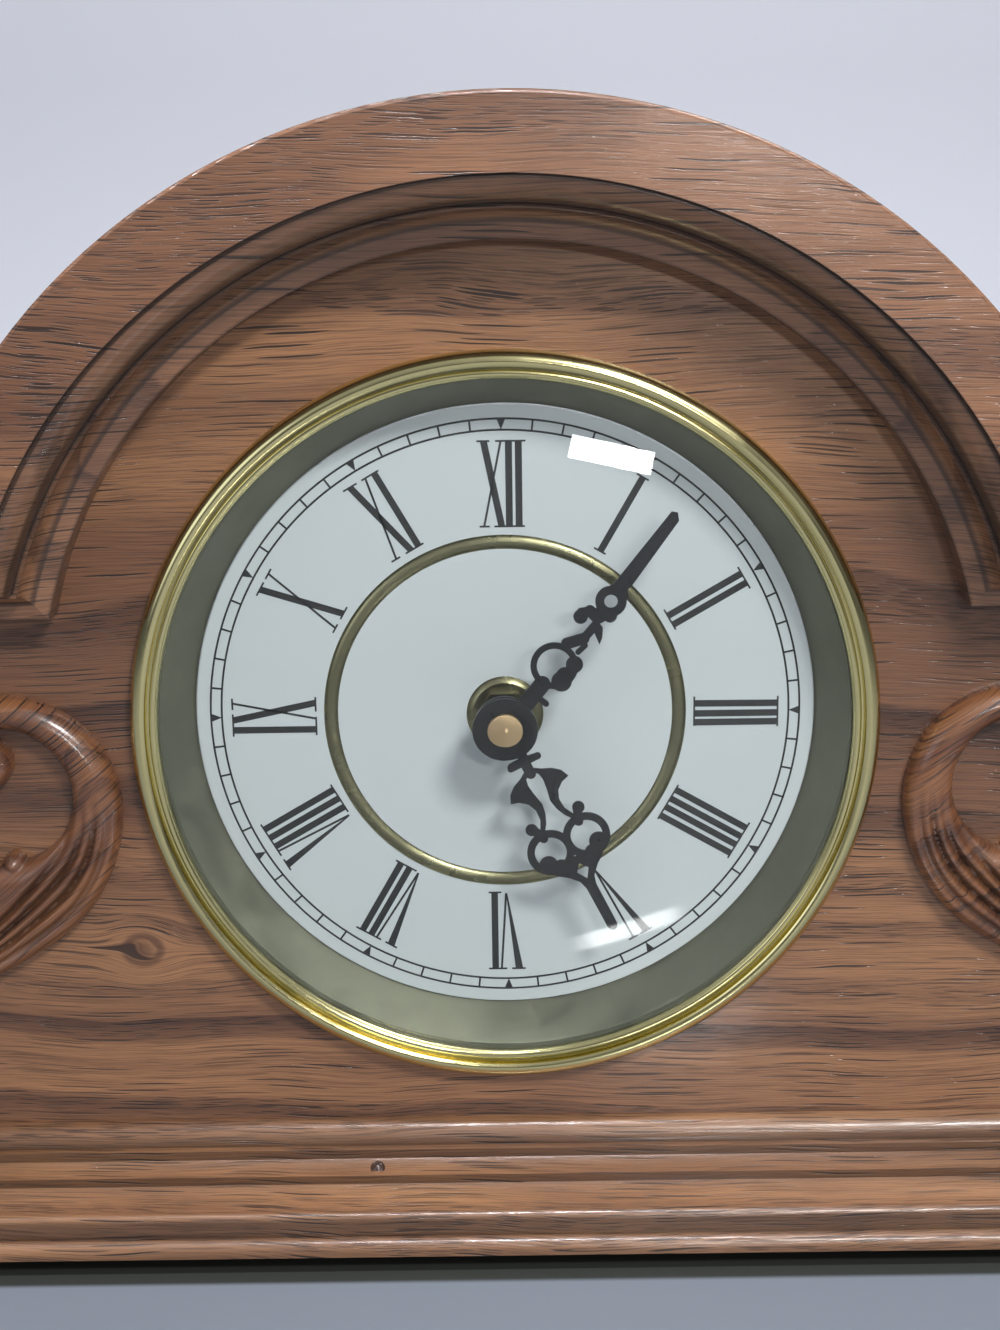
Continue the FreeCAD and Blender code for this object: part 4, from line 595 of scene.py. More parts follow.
@dataclass(frozen=True)
class ClearGlass:
    """Pressed clock glass, clear and slightly green at its edge.

    Light for what lies behind passes straight through it, so that the dial is lit evenly.
    Its index is a little low, as a thin dome's inner and outer mirror images lie apart.
    """

    name: str = "clock_glass_pressed_dome"
    hue: str = "#F8FAF9"
    index: float = 1.34

    def build(self) -> bpy.types.Material:
        """Builds the material.

        Returns:
            The material.
        """
        graph = MaterialGraph(self.name)
        glass = graph.out("BsdfPrincipled", {
            "Base Color": colour(self.hue), "Roughness": 0.0, "IOR": self.index,
            "Transmission Weight": 1.0})
        clear = graph.out("BsdfTransparent", {"Color": colour(self.hue)})
        path = graph.add("LightPath").outputs
        share = graph.out("Math MAXIMUM", path["Is Shadow Ray"], path["Is Diffuse Ray"])
        return graph.finish(graph.out("MixShader", share, glass, clear))


Finish = RedOak | TurnedMetal | Surface | ClearGlass


def mesh_object(name: str, vertices: Sequence[Sequence[float]], faces: Sequence[Face],
                material: bpy.types.Material, smooth: float | None = None) -> bpy.types.Object:
    """Makes an object from corners given in millimetres.

    Args:
        name: the object's name.
        vertices: the corners.
        faces: the corners' numbers round each face.
        material: the finish.
        smooth: the angle in degrees above which an edge stays sharp; None for flat faces.

    Returns:
        The object, linked to the scene, at the origin.
    """
    mesh = bpy.data.meshes.new(name)
    mesh.from_pydata([[value * MM for value in corner] for corner in vertices], [], faces)
    mesh.validate()
    work = bmesh.new()
    work.from_mesh(mesh)
    bmesh.ops.recalc_face_normals(work, faces=work.faces)
    work.to_mesh(mesh)
    work.free()
    if smooth is not None:
        mesh.shade_smooth()
        mesh.set_sharp_from_angle(angle=math.radians(smooth))
    mesh.materials.append(material)
    item = bpy.data.objects.new(name, mesh)
    bpy.context.scene.collection.objects.link(item)
    log.info("%s: %d faces", name, len(mesh.polygons))
    return item


class Clock:
    """The CAD model's nodes, and how they are dressed."""

    def __init__(self, frame: dict[str, Any]) -> None:
        """Takes the nodes from the frame."""
        self.nodes: dict[str, bpy.types.Object] = frame["nodes"]
        self.dressed: set[str] = set()

    def dress(self, material: bpy.types.Material, *names: str) -> None:
        """Gives CAD nodes one material.

        Args:
            material: the material.
            names: the nodes.
        """
        for name in names:
            item = self.nodes[name]
            if not item.material_slots:
                item.data.materials.append(material)
            for slot in item.material_slots:
                slot.material = material
            self.dressed.add(name)
            log.info("%s: %s", name, material.name)


class Assembly:
    """A part of the clock, with the finishes of its CAD nodes."""

    FINISHES: tuple[tuple[Finish, tuple[str, ...]], ...] = ()

    def __init__(self, clock: Clock) -> None:
        """Takes the clock that it belongs to."""
        self.clock = clock

    def build(self) -> None:
        """Dresses the CAD nodes."""
        for finish, names in self.FINISHES:
            self.clock.dress(finish.build(), *names)


class OakCase(Assembly):
    """The case's boards, each cut from its own place in the tree."""

    FINISHES = (
        (RedOak("red_oak_lacquered_panel", heart=(80.0, 172.0), lean=1.2,
                stripe=(127.0, 40.0, 1.0), knot=(-82.3, 64.9, 3.2),
                light="#AC7B55", middle="#82593F", dark="#452A1E"), ("front_panel",)),
        # The hood's moulded edge gets painted shade in its creases.
        (RedOak("red_oak_lacquered_hood", heart=(60.0, 226.0), lean=-1.8, ring_pitch=8.0,
                light="#9C6E4F", middle="#744F3B", edge=ArchEdgeShade()), ("arch_hood",)),
        (RedOak("red_oak_bent_wrap", heart=(60.0, -20.0), lean=0.6, bend=(118.8, 122.0)),
         ("arch_wrap",)),
        (RedOak("red_oak_sawn_shoulder", Grain.BACKWARDS, heart=(90.0, 10.0)),
         ("shoulder_right", "shoulder_left")),
        # The front and side mouldings get painted shade on their upright faces.
        (RedOak("red_oak_run_moulding_front", heart=(40.0, -60.0), lean=-1.2, ring_pitch=6.0,
                depth_share=0.8, riser_shade=0.32), ("base_moulding_front",)),
        (RedOak("red_oak_run_moulding_side", Grain.BACKWARDS, heart=(50.0, -55.0),
                ring_pitch=6.0, depth_share=0.8, riser_shade=0.32),
         ("base_moulding_right", "base_moulding_left")),
        (RedOak("red_oak_base_board", heart=(30.0, -90.0)), ("base_board",)),
        (RedOak("red_oak_back_panel", heart=(120.0, 60.0), light="#B98F68",
                middle="#94694A", gloss=0.35), ("back_panel", "back_door")),
        # Left raw inside: paler, and without the lacquer's shine.
        (RedOak("red_oak_raw_block", Grain.UPRIGHT, heart=(30.0, 40.0), light="#C79C6C",
                middle="#A87A4E", dark="#7C5433", gloss=0.0), ("back_cleats", "glue_blocks")),
        # Pressed wool: its fibres swallow the light.
        (Surface("felt_foot_pad", "#2B2622", 0.95, grain_pitch=0.4, grain_depth=0.05),
         ("foot_pads",)),
    )
    # Wax rubbed in level: a dark glossy dot that catches a glint on its rim.
    FILLER = Surface("wax_filler_rubbed_flush", "#3E2920", 0.35, gloss=0.5)
    # The filled nail: its place, the way it faces, its rings (radius, height) and their sides.
    NAIL, NAIL_FACING = (-31.1, -33.7, 16.2), (0.0, -0.6, 0.8)
    NAIL_RINGS = ((1.6, -1.4), (1.6, -0.1), (1.4, 0.15), (1.15, -0.1), (0.9, 0.0),
                  (0.5, 0.3), (0.2, 0.35))
    NAIL_SIDES = 32

    def build(self) -> None:
        """Dresses the boards and what they stand on, and fills the nail's hole."""
        super().build()
        self.plug_nail()

    def plug_nail(self) -> None:
        """Builds the drop of filler over the nail that holds the front moulding."""
        facing = Vector(self.NAIL_FACING).to_track_quat("Z", "Y")
        sides = self.NAIL_SIDES
        vertices: list[Sequence[float]] = []
        faces: list[Face] = []
        for radius, height in self.NAIL_RINGS:
            for step in range(sides):
                angle = math.tau * step / sides
                corner = Vector((radius * math.cos(angle), radius * math.sin(angle), height))
                vertices.append(Vector(self.NAIL) + facing @ corner)
        last = len(vertices) - sides
        for ring in range(0, last, sides):
            faces += band(ring, ring + sides, sides)
        faces.append(tuple(range(last, last + sides)))
        faces.append(tuple(reversed(range(sides))))
        item = mesh_object("nail_filler", vertices, faces, self.FILLER.build(), smooth=60.0)
        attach(item, "case")


def arc(start: Point, end: Point, radius: float, turn: int, step: float) -> list[Point]:
    """Points on the arc under a half turn from start up to end, without the end.

    Args:
        start: where the arc begins.
        end: where it ends.
        radius: its radius.
        turn: 1 for anticlockwise and -1 for clockwise.
        step: how far apart the points are.

    Returns:
        The points.
    """
    dx, dz = end[0] - start[0], end[1] - start[1]
    chord = math.hypot(dx, dz)
    rise = math.sqrt(max(radius ** 2 - chord ** 2 / 4, 0.0))
    centre = (start[0] + dx / 2 - turn * rise * dz / chord,
              start[1] + dz / 2 + turn * rise * dx / chord)
    first = math.atan2(start[1] - centre[1], start[0] - centre[0])
    sweep = 2 * math.asin(min(chord / 2 / radius, 1.0)) * turn
    count = max(2, int(abs(sweep) * radius / step))
    return [(centre[0] + radius * math.cos(first + sweep * index / count),
             centre[1] + radius * math.sin(first + sweep * index / count))
            for index in range(count)]


@dataclass(frozen=True)
class ScrollSizes:
    """The carved scroll on the right.

    hollow and raised are discs (across, height, radius) that are cut out of it or left on
    it. crown is how far in from the edge the band rises from its wall to its full relief,
    and least is the height over the panel that is always left.

    A groove starts reed_top over the scroll's centre and deepens over reed_fade on its way
    down. It runs out towards reed_tail_share of the tail's length, and at the band's edge it
    has only reed_wall_share of its depth.
    """

    centre: Point = (109.6, 98.7)
    radius: float = 25.0
    bowl_radius: float = 37.3
    tail_tip: Point = (182.0, 44.0)
    hollow: Triple = (110.2, 101.5, 15.2)
    raised: tuple[Triple, ...] = ((119.5, 108.0, 7.0), (113.6, 109.0, 6.2), (108.6, 86.2, 2.6))
    relief: float = 6.0
    wall: float = 1.6
    crown: float = 5.4
    least: float = 0.4
    reeds: int = 4
    reed_pitch: float = 4.9
    reed_crowding: float = 2.7
    reed_tip_pitch: float = 0.7
    reed_start: Point = (0.6, 9.0)
    reed_depth: float = 2.0
    reed_width: float = 0.8
    reed_top: float = 4.0
    reed_fade: float = 14.0
    reed_tail_share: float = 0.7
    reed_wall_share: float = 0.35
    cell: float = 0.45
    edge_step: float = 0.25
    line_step: float = 0.5


class Carving(Assembly):
    """The two carved scrolls: crowned bands with reeds cut down into their tails."""

    # Each side's sign and CAD node, and where its board's heart lies.
    SIDES = ((1, "scroll_right", 150.0), (-1, "scroll_left", 172.0))
    # A cell stays when its deepest corner lies this share of its width inside the edge.
    KEPT_SHARE = 0.2
    # How far the cells reach past the outline before they are chosen.
    MARGIN = 1.0
    # How corners outside the edge are drawn in: the step that finds the slope, the slope that
    # is counted at least, and how many times it is done.
    NUDGE, LEAST_SLOPE, ROUNDS = 0.05, 0.3, 3
    # How many points of a line are measured at a time.
    BATCH = 64

    def __init__(self, clock: Clock, sizes: ScrollSizes = ScrollSizes()) -> None:
        """Lays out the scroll's edge and grooves.

        Args:
            clock: the clock that it belongs to.
            sizes: the scroll's sizes.
        """
        super().__init__(clock)
        self.sizes = sizes
        self.outline = self.edge()
        self.grooves = [self.groove(number) for number in range(1, sizes.reeds + 1)]

    def tail(self, radius: float, across: float, height: float) -> tuple[float, Point]:
        """The arc from a bowl's edge to the tail's tip.

        Args:
            radius: the bowl's radius.
            across: where the bowl's centre lies.
            height: the height at which the arc ends level.

        Returns:
            The arc's radius and the place where it leaves the bowl.
        """
        run = self.sizes.tail_tip[0] - across
        fall = self.sizes.centre[1] - height
        long_radius = (run * run + fall * fall - radius * radius) / ((fall - radius) * 2)
        share = radius / (long_radius - radius)
        return long_radius, (across - run * share,
                             self.sizes.centre[1] - (long_radius - fall) * share)

    def edge(self) -> np.ndarray:
        """Lays out the scroll's outline.

        Returns:
            Its points, anticlockwise from the tail's tip.
        """
        sizes = self.sizes
        x, z = sizes.centre
        dx, dz = sizes.tail_tip[0] - x, z - sizes.tail_tip[1]
        dip = (dx * dx + dz * dz - sizes.radius ** 2) / ((sizes.radius + dz) * 2)
        share = sizes.radius / (sizes.radius + dip)
        touch = (x + dx * share, z + (dip - dz) * share)
        start = (x - sizes.radius, z)
        long_radius, leave = self.tail(sizes.bowl_radius, start[0] + sizes.bowl_radius,
                                       sizes.tail_tip[1])
        crest = (x, z + sizes.radius)
        points = arc(sizes.tail_tip, touch, dip, -1, sizes.edge_step)
        for first, second, radius in (
                (touch, crest, sizes.radius), (crest, start, sizes.radius),
                (start, leave, sizes.bowl_radius), (leave, sizes.tail_tip, long_radius)):
            points += arc(first, second, radius, 1, sizes.edge_step)
        return np.array(points)

    def groove(self, number: int) -> np.ndarray:
        """Lays out the line of one groove between reeds, from the bowl's edge into the tail.

        Args:
            number: which groove it is, counted from the outer edge.

        Returns:
            The line's points.
        """
        sizes = self.sizes
        radius = sizes.bowl_radius - sizes.reed_pitch * number
        first = sizes.centre[0] - sizes.radius + sizes.reed_crowding * number
        height = sizes.tail_tip[1] + sizes.reed_tip_pitch * number
        long_radius, leave = self.tail(radius, first + radius, height)
        points: list[Point] = []
        for start, end, bend in (
                ((first + sizes.reed_start[0], sizes.centre[1] + sizes.reed_start[1]),
                 (first, sizes.centre[1]), radius),
                ((first, sizes.centre[1]), leave, radius),
                (leave, (sizes.tail_tip[0], height), long_radius)):
            points += arc(start, end, bend, 1, sizes.line_step)
        return np.array(points)

    def depth_inside(self, places: np.ndarray) -> np.ndarray:
        """Measures how far places lie inside the scroll's edge.

        Args:
            places: the places.

        Returns:
            The depth of each; negative outside.
        """
        inside = np.zeros(len(places), bool)
        for (x0, z0), (x1, z1) in zip(self.outline, np.roll(self.outline, -1, axis=0)):
            crosses = (z0 > places[:, 1]) != (z1 > places[:, 1])
            if crosses.any():
                cut = x0 + (places[:, 1] - z0) * (x1 - x0) / (z1 - z0)
                inside ^= crosses & (places[:, 0] < cut)
        depth = self.distance(places, self.outline)
        depth = np.where(inside, depth, -depth)
        x, z, radius = self.sizes.hollow
        depth = np.minimum(depth, np.hypot(places[:, 0] - x, places[:, 1] - z) - radius)
        for x, z, radius in self.sizes.raised:
            disc = radius - np.hypot(places[:, 0] - x, places[:, 1] - z)
            depth = np.maximum(depth, disc)
        return depth

    def distance(self, places: np.ndarray, line: np.ndarray) -> np.ndarray:
        """Measures how far places lie from a finely cut line.

        Args:
            places: the places.
            line: the line's points.

        Returns:
            The distance from each place to the nearest point.
        """
        nearest = np.full(len(places), np.inf)
        for start in range(0, len(line), self.BATCH):
            part = line[start:start + self.BATCH]
            gaps = np.hypot(places[:, None, 0] - part[None, :, 0],
                            places[:, None, 1] - part[None, :, 1])
            nearest = np.minimum(nearest, gaps.min(axis=1))
        return nearest

    def heights(self, places: np.ndarray, depth: np.ndarray) -> np.ndarray:
        """Carves the surface.

        Args:
            places: the places.
            depth: how far each lies inside the edge.

        Returns:
            The height of each over the panel.
        """
        sizes = self.sizes
        share = np.clip(depth / sizes.crown, 0.0, 1.0)
        swell = np.sqrt(np.maximum(1 - (1 - share) ** 2, 0.0))
        height = sizes.wall + (sizes.relief - sizes.wall) * swell
        reach = sizes.tail_tip[0] - sizes.centre[0]
        along = (places[:, 0] - sizes.centre[0]) / reach
        fade = np.clip((sizes.reed_tail_share - along) / (1 - sizes.reed_tail_share), 0.0, 1.0)
        under = sizes.centre[1] + sizes.reed_top - places[:, 1]
        fade *= np.clip(under / sizes.reed_fade, 0.0, 1.0)
        fade *= sizes.reed_wall_share + (1 - sizes.reed_wall_share) * share
        for line in self.grooves:
            near = self.distance(places, line) / sizes.reed_width
            height -= sizes.reed_depth * np.exp(-near * near) * fade
        return np.maximum(height, sizes.least)

    def grid(self) -> tuple[np.ndarray, np.ndarray, list[list[int]]]:
        """Lays square cells over the scroll and keeps those inside its edge.

        Returns:
            The cells' corners, how deep each lies inside the edge, and the corners' numbers
            round each cell.
        """
        sizes = self.sizes
        low = self.outline.min(axis=0) - self.MARGIN
        high = self.outline.max(axis=0) + self.MARGIN
        across = np.arange(low[0], high[0], sizes.cell)
        up = np.arange(low[1], high[1], sizes.cell)
        places = np.array([(x, z) for z in up for x in across])
        depth = self.depth_inside(places)
        count = len(across)
        cells = []
        for row in range(len(up) - 1):
            for column in range(count - 1):
                here = row * count + column
                corners = (here, here + 1, here + 1 + count, here + count)
                if max(depth[corner] for corner in corners) > sizes.cell * self.KEPT_SHARE:
                    cells.append(corners)
        used = sorted({corner for cell in cells for corner in cell})
        number = {corner: index for index, corner in enumerate(used)}
        return places[used], depth[used], [[number[corner] for corner in cell]
                                           for cell in cells]

    def draw_in(self, places: np.ndarray, depth: np.ndarray) -> None:
        """Draws corners that lie outside the edge in to it.

        Args:
            places: the corners, which are changed.
            depth: how far each lies inside the edge, which is changed too.
        """
        steps = ((self.NUDGE, 0), (0, self.NUDGE))
        for _ in range(self.ROUNDS):
            outside = depth < 0
            if not outside.any():
                break
            near = places[outside]
            slope = np.stack([self.depth_inside(near + step) - self.depth_inside(near - step)
                              for step in steps], axis=1) / (2 * self.NUDGE)
            length = np.maximum(np.linalg.norm(slope, axis=1, keepdims=True),
                                self.LEAST_SLOPE)
            places[outside] = near - slope / length * depth[outside][:, None]
            depth[outside] = self.depth_inside(places[outside])

    def surface(self) -> tuple[list[Triple], list[Face]]:
        """Builds the right-hand scroll.

        Returns:
            Its corners and faces.
        """
        places, depth, cells = self.grid()
        self.draw_in(places, depth)
        height = self.heights(places, np.maximum(depth, 0.0))
        total = len(places)
        vertices = [(x, PANEL_FRONT - h, z) for (x, z), h in zip(places, height)]
        vertices += [(x, PANEL_FRONT, z) for x, z in places]
        faces: list[Face] = []
        for ring in cells:
            faces.append(tuple(ring))
            faces.append(tuple(total + corner for corner in reversed(ring)))
        edges = [pair for ring in cells for pair in zip(ring, ring[1:] + ring[:1])]
        known = set(edges)
        for first, second in edges:
            if (second, first) not in known:
                faces.append((second, first, total + first, total + second))
        return vertices, faces

    def build(self) -> None:
        """Builds both scrolls and hides the plainer ones of the CAD model."""
        vertices, faces = self.surface()
        for side, node, heart in self.SIDES:
            finish = RedOak("red_oak_carved_" + node, Grain.RISING, heart=(30.0, heart), lean=3.0,
                            ring_pitch=5.0, light="#99653F", middle="#734630",
                            dark="#3B231A", gloss=0.85).build()
            corners = [(x * side, y, z) for x, y, z in vertices]
            rings = faces if side > 0 else [face[::-1] for face in faces]
            item = mesh_object("carved_" + node, corners, rings, finish, smooth=60.0)
            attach(item, "case")
            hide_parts(node)


class Stroke(Enum):
    """A numeral's stroke, as its width at the top and at the foot in millimetres."""

    THICK = (1.5, 1.5)
    THIN = (0.48, 0.48)
    POINTED = (1.7, 0.25)


@dataclass(frozen=True)
class PrintSizes:
    """The dial's black print."""

    track_outer: float = 65.0
    track_inner: float = 62.6
    line: float = 0.43
    wedge_width: float = 1.9
    minutes: int = 60
    hours: int = 12
    thickness: float = 0.05
    numeral_top: float = 60.0
    numeral_foot: float = 42.0
    serif: float = 0.4


class MinuteTrack(Graph):
    """The minute track's node group: marks repeated round the dial between two circles."""

    CIRCLE_SIDES = 240

    def __init__(self, sizes: PrintSizes) -> None:
        """Makes the group with its named inputs.

        Args:
            sizes: the print's sizes, which become the inputs' values.
        """
        super().__init__(bpy.data.node_groups.new("minute_track", "GeometryNodeTree"))
        self.values: dict[str, float | int] = {
            "Outer Radius": sizes.track_outer * MM, "Inner Radius": sizes.track_inner * MM,
            "Line Width": sizes.line * MM, "Wedge Width": sizes.wedge_width * MM,
            "Thickness": sizes.thickness * MM, "Minutes": sizes.minutes,
            "Hours": sizes.hours}
        interface = self.tree.interface
        self.identifiers = {}
        for name, value in self.values.items():
            kind = "NodeSocketInt" if isinstance(value, int) else "NodeSocketFloat"
            socket = interface.new_socket(name, in_out="INPUT", socket_type=kind)
            self.identifiers[name] = socket.identifier
        interface.new_socket("Geometry", in_out="OUTPUT", socket_type="NodeSocketGeometry")
        self.given = self.add("NodeGroupInput").outputs

    def copies(self, shape: Socket, count: Socket, radius: Socket, keep: Any = True) -> Socket:
        """Repeats a shape at even turns, each copy pointing away from the centre.

        Args:
            shape: the shape.
            count: how many turns there are.
            radius: how far out the copies lie.
            keep: which of them are kept.

        Returns:
            The copies.
        """
        index = self.out("GeometryNodeInputIndex")
        angle = self.out("Math DIVIDE", self.out("Math MULTIPLY", index, math.tau), count)
        across, up = (self.out("Math MULTIPLY", self.out(kind, angle), radius)
                      for kind in ("Math SINE", "Math COSINE"))
        place = self.out("CombineXYZ", across, 0.0, up)
        points = self.out("GeometryNodePoints", {"Count": count, "Position": place})
        spin = self.out("CombineXYZ", {1: angle})
        return self.out("GeometryNodeInstanceOnPoints", {
            "Points": points, "Instance": shape, "Rotation": spin, "Selection": keep})

    def ticks(self, width: Socket, middle: Socket) -> Socket:
        """Draws a bar at each minute between the hours.

        Args:
            width: how far the track's circles lie apart.
            middle: the radius halfway between them.

        Returns:
            The bars.
        """
        given = self.given
        size = self.out("CombineXYZ", given["Line Width"], given["Thickness"], width)
        tick = self.out("GeometryNodeMeshCube", {"Size": size})
        share = self.out("Math DIVIDE", given["Minutes"], given["Hours"])
        index = self.out("GeometryNodeInputIndex")
        between = self.out("Math GREATER_THAN", self.out("Math MODULO", index, share), 0.5)
        return self.copies(tick, given["Minutes"], middle, between)

    def wedges(self, width: Socket) -> Socket:
        """Draws a triangle at each hour, which points at the dial's centre.

        Args:
            width: how far the track's circles lie apart.

        Returns:
            The triangles.
        """
        given = self.given
        wedge = self.out("GeometryNodeMeshCylinder", {
            "Vertices": 3, "Radius": 1.0, "Depth": given["Thickness"]})
        for turn in ((0.0, 0.0, -math.pi / 2), (math.pi / 2, 0.0, 0.0)):
            wedge = self.out("GeometryNodeTransform", {"Geometry": wedge, "Rotation": turn})
        # A triangle in a circle of radius 1 is the root of 3 wide and 1.5 high, and its
        # centre lies two thirds of the way from its point to its base.
        long = self.out("Math DIVIDE", width, 1.5)
        broad = self.out("Math DIVIDE", given["Wedge Width"], math.sqrt(3.0))
        stretch = self.out("CombineXYZ", broad, 1.0, long)
        seat = self.out("Math ADD", given["Inner Radius"], long)
        wedge = self.out("GeometryNodeTransform", {"Geometry": wedge, "Scale": stretch})
        return self.copies(wedge, given["Hours"], seat)

    def circle(self, radius: Socket) -> Socket:
        """Draws one of the track's two circles.

        Args:
            radius: the circle's radius.

        Returns:
            The circle.
        """
        circle = self.out("GeometryNodeCurvePrimitiveCircle", {
            "Resolution": self.CIRCLE_SIDES, "Radius": radius})
        section = self.out("GeometryNodeCurvePrimitiveQuadrilateral", {
            "Width": self.given["Line Width"], "Height": self.given["Thickness"]})
        hoop = self.out("GeometryNodeCurveToMesh", {"Curve": circle,
                                                    "Profile Curve": section})
        return self.out("GeometryNodeTransform", {"Geometry": hoop,
                                                  "Rotation": (math.pi / 2, 0.0, 0.0)})

    def build(self, centre: Sequence[float], ink: bpy.types.Material) -> None:
        """Joins the marks and sets them on the dial.

        Args:
            centre: the track's centre, in metres.
            ink: the marks' finish.
        """
        outer, inner = self.given["Outer Radius"], self.given["Inner Radius"]
        width = self.out("Math SUBTRACT", outer, inner)
        middle = self.out("Math DIVIDE", self.out("Math ADD", outer, inner), 2.0)
        joined = self.add("GeometryNodeJoinGeometry")
        for part in (self.ticks(width, middle), self.wedges(width), self.circle(outer),
                     self.circle(inner)):
            self.tree.links.new(part, joined.inputs[0])
        moved = self.out("GeometryNodeTransform", {"Geometry": joined.outputs[0],
                                                   "Translation": centre})
        solid = self.out("GeometryNodeRealizeInstances", moved)
        inked = self.out("GeometryNodeSetMaterial", {"Geometry": solid, "Material": ink})
        self.add("NodeGroupOutput", inked)

    def run(self, name: str) -> bpy.types.Object:
        """Runs the group and keeps its result as a plain mesh.

        Args:
            name: the object's name.

        Returns:
            The object.
        """
        source = bpy.data.objects.new("track_source", bpy.data.meshes.new("track_source"))
        bpy.context.scene.collection.objects.link(source)
        modifier = source.modifiers.new("track", "NODES")
        modifier.node_group = self.tree
        for key, value in self.values.items():
            modifier[self.identifiers[key]] = value
        shown = source.evaluated_get(bpy.context.evaluated_depsgraph_get())
        mesh = bpy.data.meshes.new_from_object(shown)
        mesh.name = name
        bpy.data.objects.remove(source)
        item = bpy.data.objects.new(name, mesh)
        bpy.context.scene.collection.objects.link(item)
        log.info("%s: %d faces", name, len(mesh.polygons))
        return item


class PrintedDial(Assembly):
    """Roman numerals and the minute track, printed on the white plate."""

    # Each numeral: (left edge at the top, left edge at the foot, kind) strokes,
    # then (height share, from, to) serifs; across from the numeral's own radius.
    NUMERALS: dict[int, tuple[tuple[tuple[float, float, Stroke], ...],
                              tuple[tuple[int, float, float], ...]]] = {
        1: (((-0.5, -0.5, Stroke.THICK),), ((1, -1.3, 1.7), (0, -1.3, 1.6))),
        2: (((-1.5, -1.5, Stroke.THICK), (0.8, 0.8, Stroke.THICK)),
            ((1, -2.4, 3.1), (0, -2.4, 2.8))),
        3: (((-2.4, -2.5, Stroke.THICK), (-0.2, -0.2, Stroke.THICK), (1.8, 1.8, Stroke.THICK)),
            ((1, -3.2, 3.7), (0, -3.3, 3.4))),
        4: (((-4.0, -4.0, Stroke.THICK), (-1.7, -1.7, Stroke.THICK),
             (0.5, 0.5, Stroke.THICK), (2.8, 2.8, Stroke.THICK)),
            ((1, -4.7, 4.9), (0, -4.5, 4.6))),
        5: (((-2.4, 1.0, Stroke.POINTED), (1.6, 1.0, Stroke.THIN)),
            ((1, -3.1, 0.0), (1, 0.7, 3.0))),
        6: (((-3.3, 0.1, Stroke.POINTED), (1.3, 0.1, Stroke.THIN), (2.2, 2.2, Stroke.THICK)),
            ((1, -3.9, -0.8), (1, 0.3, 4.5), (0, 1.4, 4.3))),
        7: (((-4.7, -1.3, Stroke.POINTED), (-0.4, -1.3, Stroke.THIN),
             (0.5, 0.5, Stroke.THICK), (2.7, 2.7, Stroke.THICK)),
            ((1, -5.4, -2.4), (1, -1.3, 5.1), (0, -0.5, 4.8))),
        8: (((-5.9, -2.5, Stroke.POINTED), (-1.6, -2.5, Stroke.THIN),
             (-0.8, -0.8, Stroke.THICK), (1.5, 1.5, Stroke.THICK), (3.8, 3.8, Stroke.THICK)),
            ((1, -6.6, -3.6), (1, -2.6, 6.0), (0, -1.5, 5.9))),
        9: (((-3.7, -3.7, Stroke.THICK), (-1.4, 2.3, Stroke.THICK), (2.9, -0.7, Stroke.THIN)),
            ((1, -4.4, 0.7), (1, 1.7, 4.3), (0, -4.3, -0.1), (0, 1.1, 4.4))),
        10: (((-2.3, 1.7, Stroke.THICK), (2.1, -1.4, Stroke.THIN)),
             ((1, -3.2, 0.2), (1, 1.0, 3.6), (0, -2.4, -0.2), (0, 1.1, 4.2))),
        11: (((-3.6, 0.5, Stroke.THICK), (0.7, -2.7, Stroke.THIN), (2.4, 2.4, Stroke.THICK)),
             ((1, -4.6, -1.2), (1, 0.0, 4.3), (0, -3.7, -1.5), (0, -0.1, 4.4))),
        12: (((-4.5, -0.9, Stroke.THICK), (-0.4, -4.1, Stroke.THIN), (0.8, 0.8, Stroke.THICK),
              (2.9, 2.9, Stroke.THICK)),
             ((1, -5.3, -2.5), (1, -1.3, 5.2), (0, -4.9, -2.7), (0, -1.7, 4.9))),
    }

    FINISHES = (
        # Sprayed over steel: a smooth cool white with a soft sheen.
        (Surface("dial_white_enamel_sprayed", "#D5DADD", 0.34, grain_pitch=0.6,
                 grain_depth=0.004, gloss=0.25), ("dial_plate",)),
    )
    # Screen print lies flat and dull on the enamel.
    INK = Surface("dial_black_ink_printed", "#0A0B0D", 0.6)

    def __init__(self, clock: Clock, sizes: PrintSizes = PrintSizes()) -> None:
        """Takes the clock and the print's sizes."""
        super().__init__(clock)
        self.sizes = sizes

    def build(self) -> None:
        """Dresses the plate and builds its print."""
        super().build()
        ink = self.INK.build()
        for item in (self.numerals(ink), self.track(ink)):
            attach(item, "case")

    def numerals(self, ink: bpy.types.Material) -> bpy.types.Object:
        """Builds the twelve numerals as one thin raised mesh.

        Args:
            ink: their finish.

        Returns:
            The object.
        """
        sizes = self.sizes
        top_line, foot_line = sizes.numeral_top, sizes.numeral_foot
        vertices: list[Triple] = []
        faces: list[Face] = []
        for number, (strokes, serifs) in self.NUMERALS.items():
            pieces = []
            for top, foot, kind in strokes:
                broad, narrow = kind.value
                pieces.append(((foot, foot_line), (foot + narrow, foot_line),
                               (top + broad, top_line), (top, top_line)))
            for high, start, end in serifs:
                level = top_line if high else foot_line - sizes.serif
                pieces.append(((start, level), (end, level), (end, level + sizes.serif),
                               (start, level + sizes.serif)))
            for piece in pieces:
                self.prism(piece, math.tau * number / sizes.hours, vertices, faces)
        return mesh_object("dial_numerals", vertices, faces, ink)

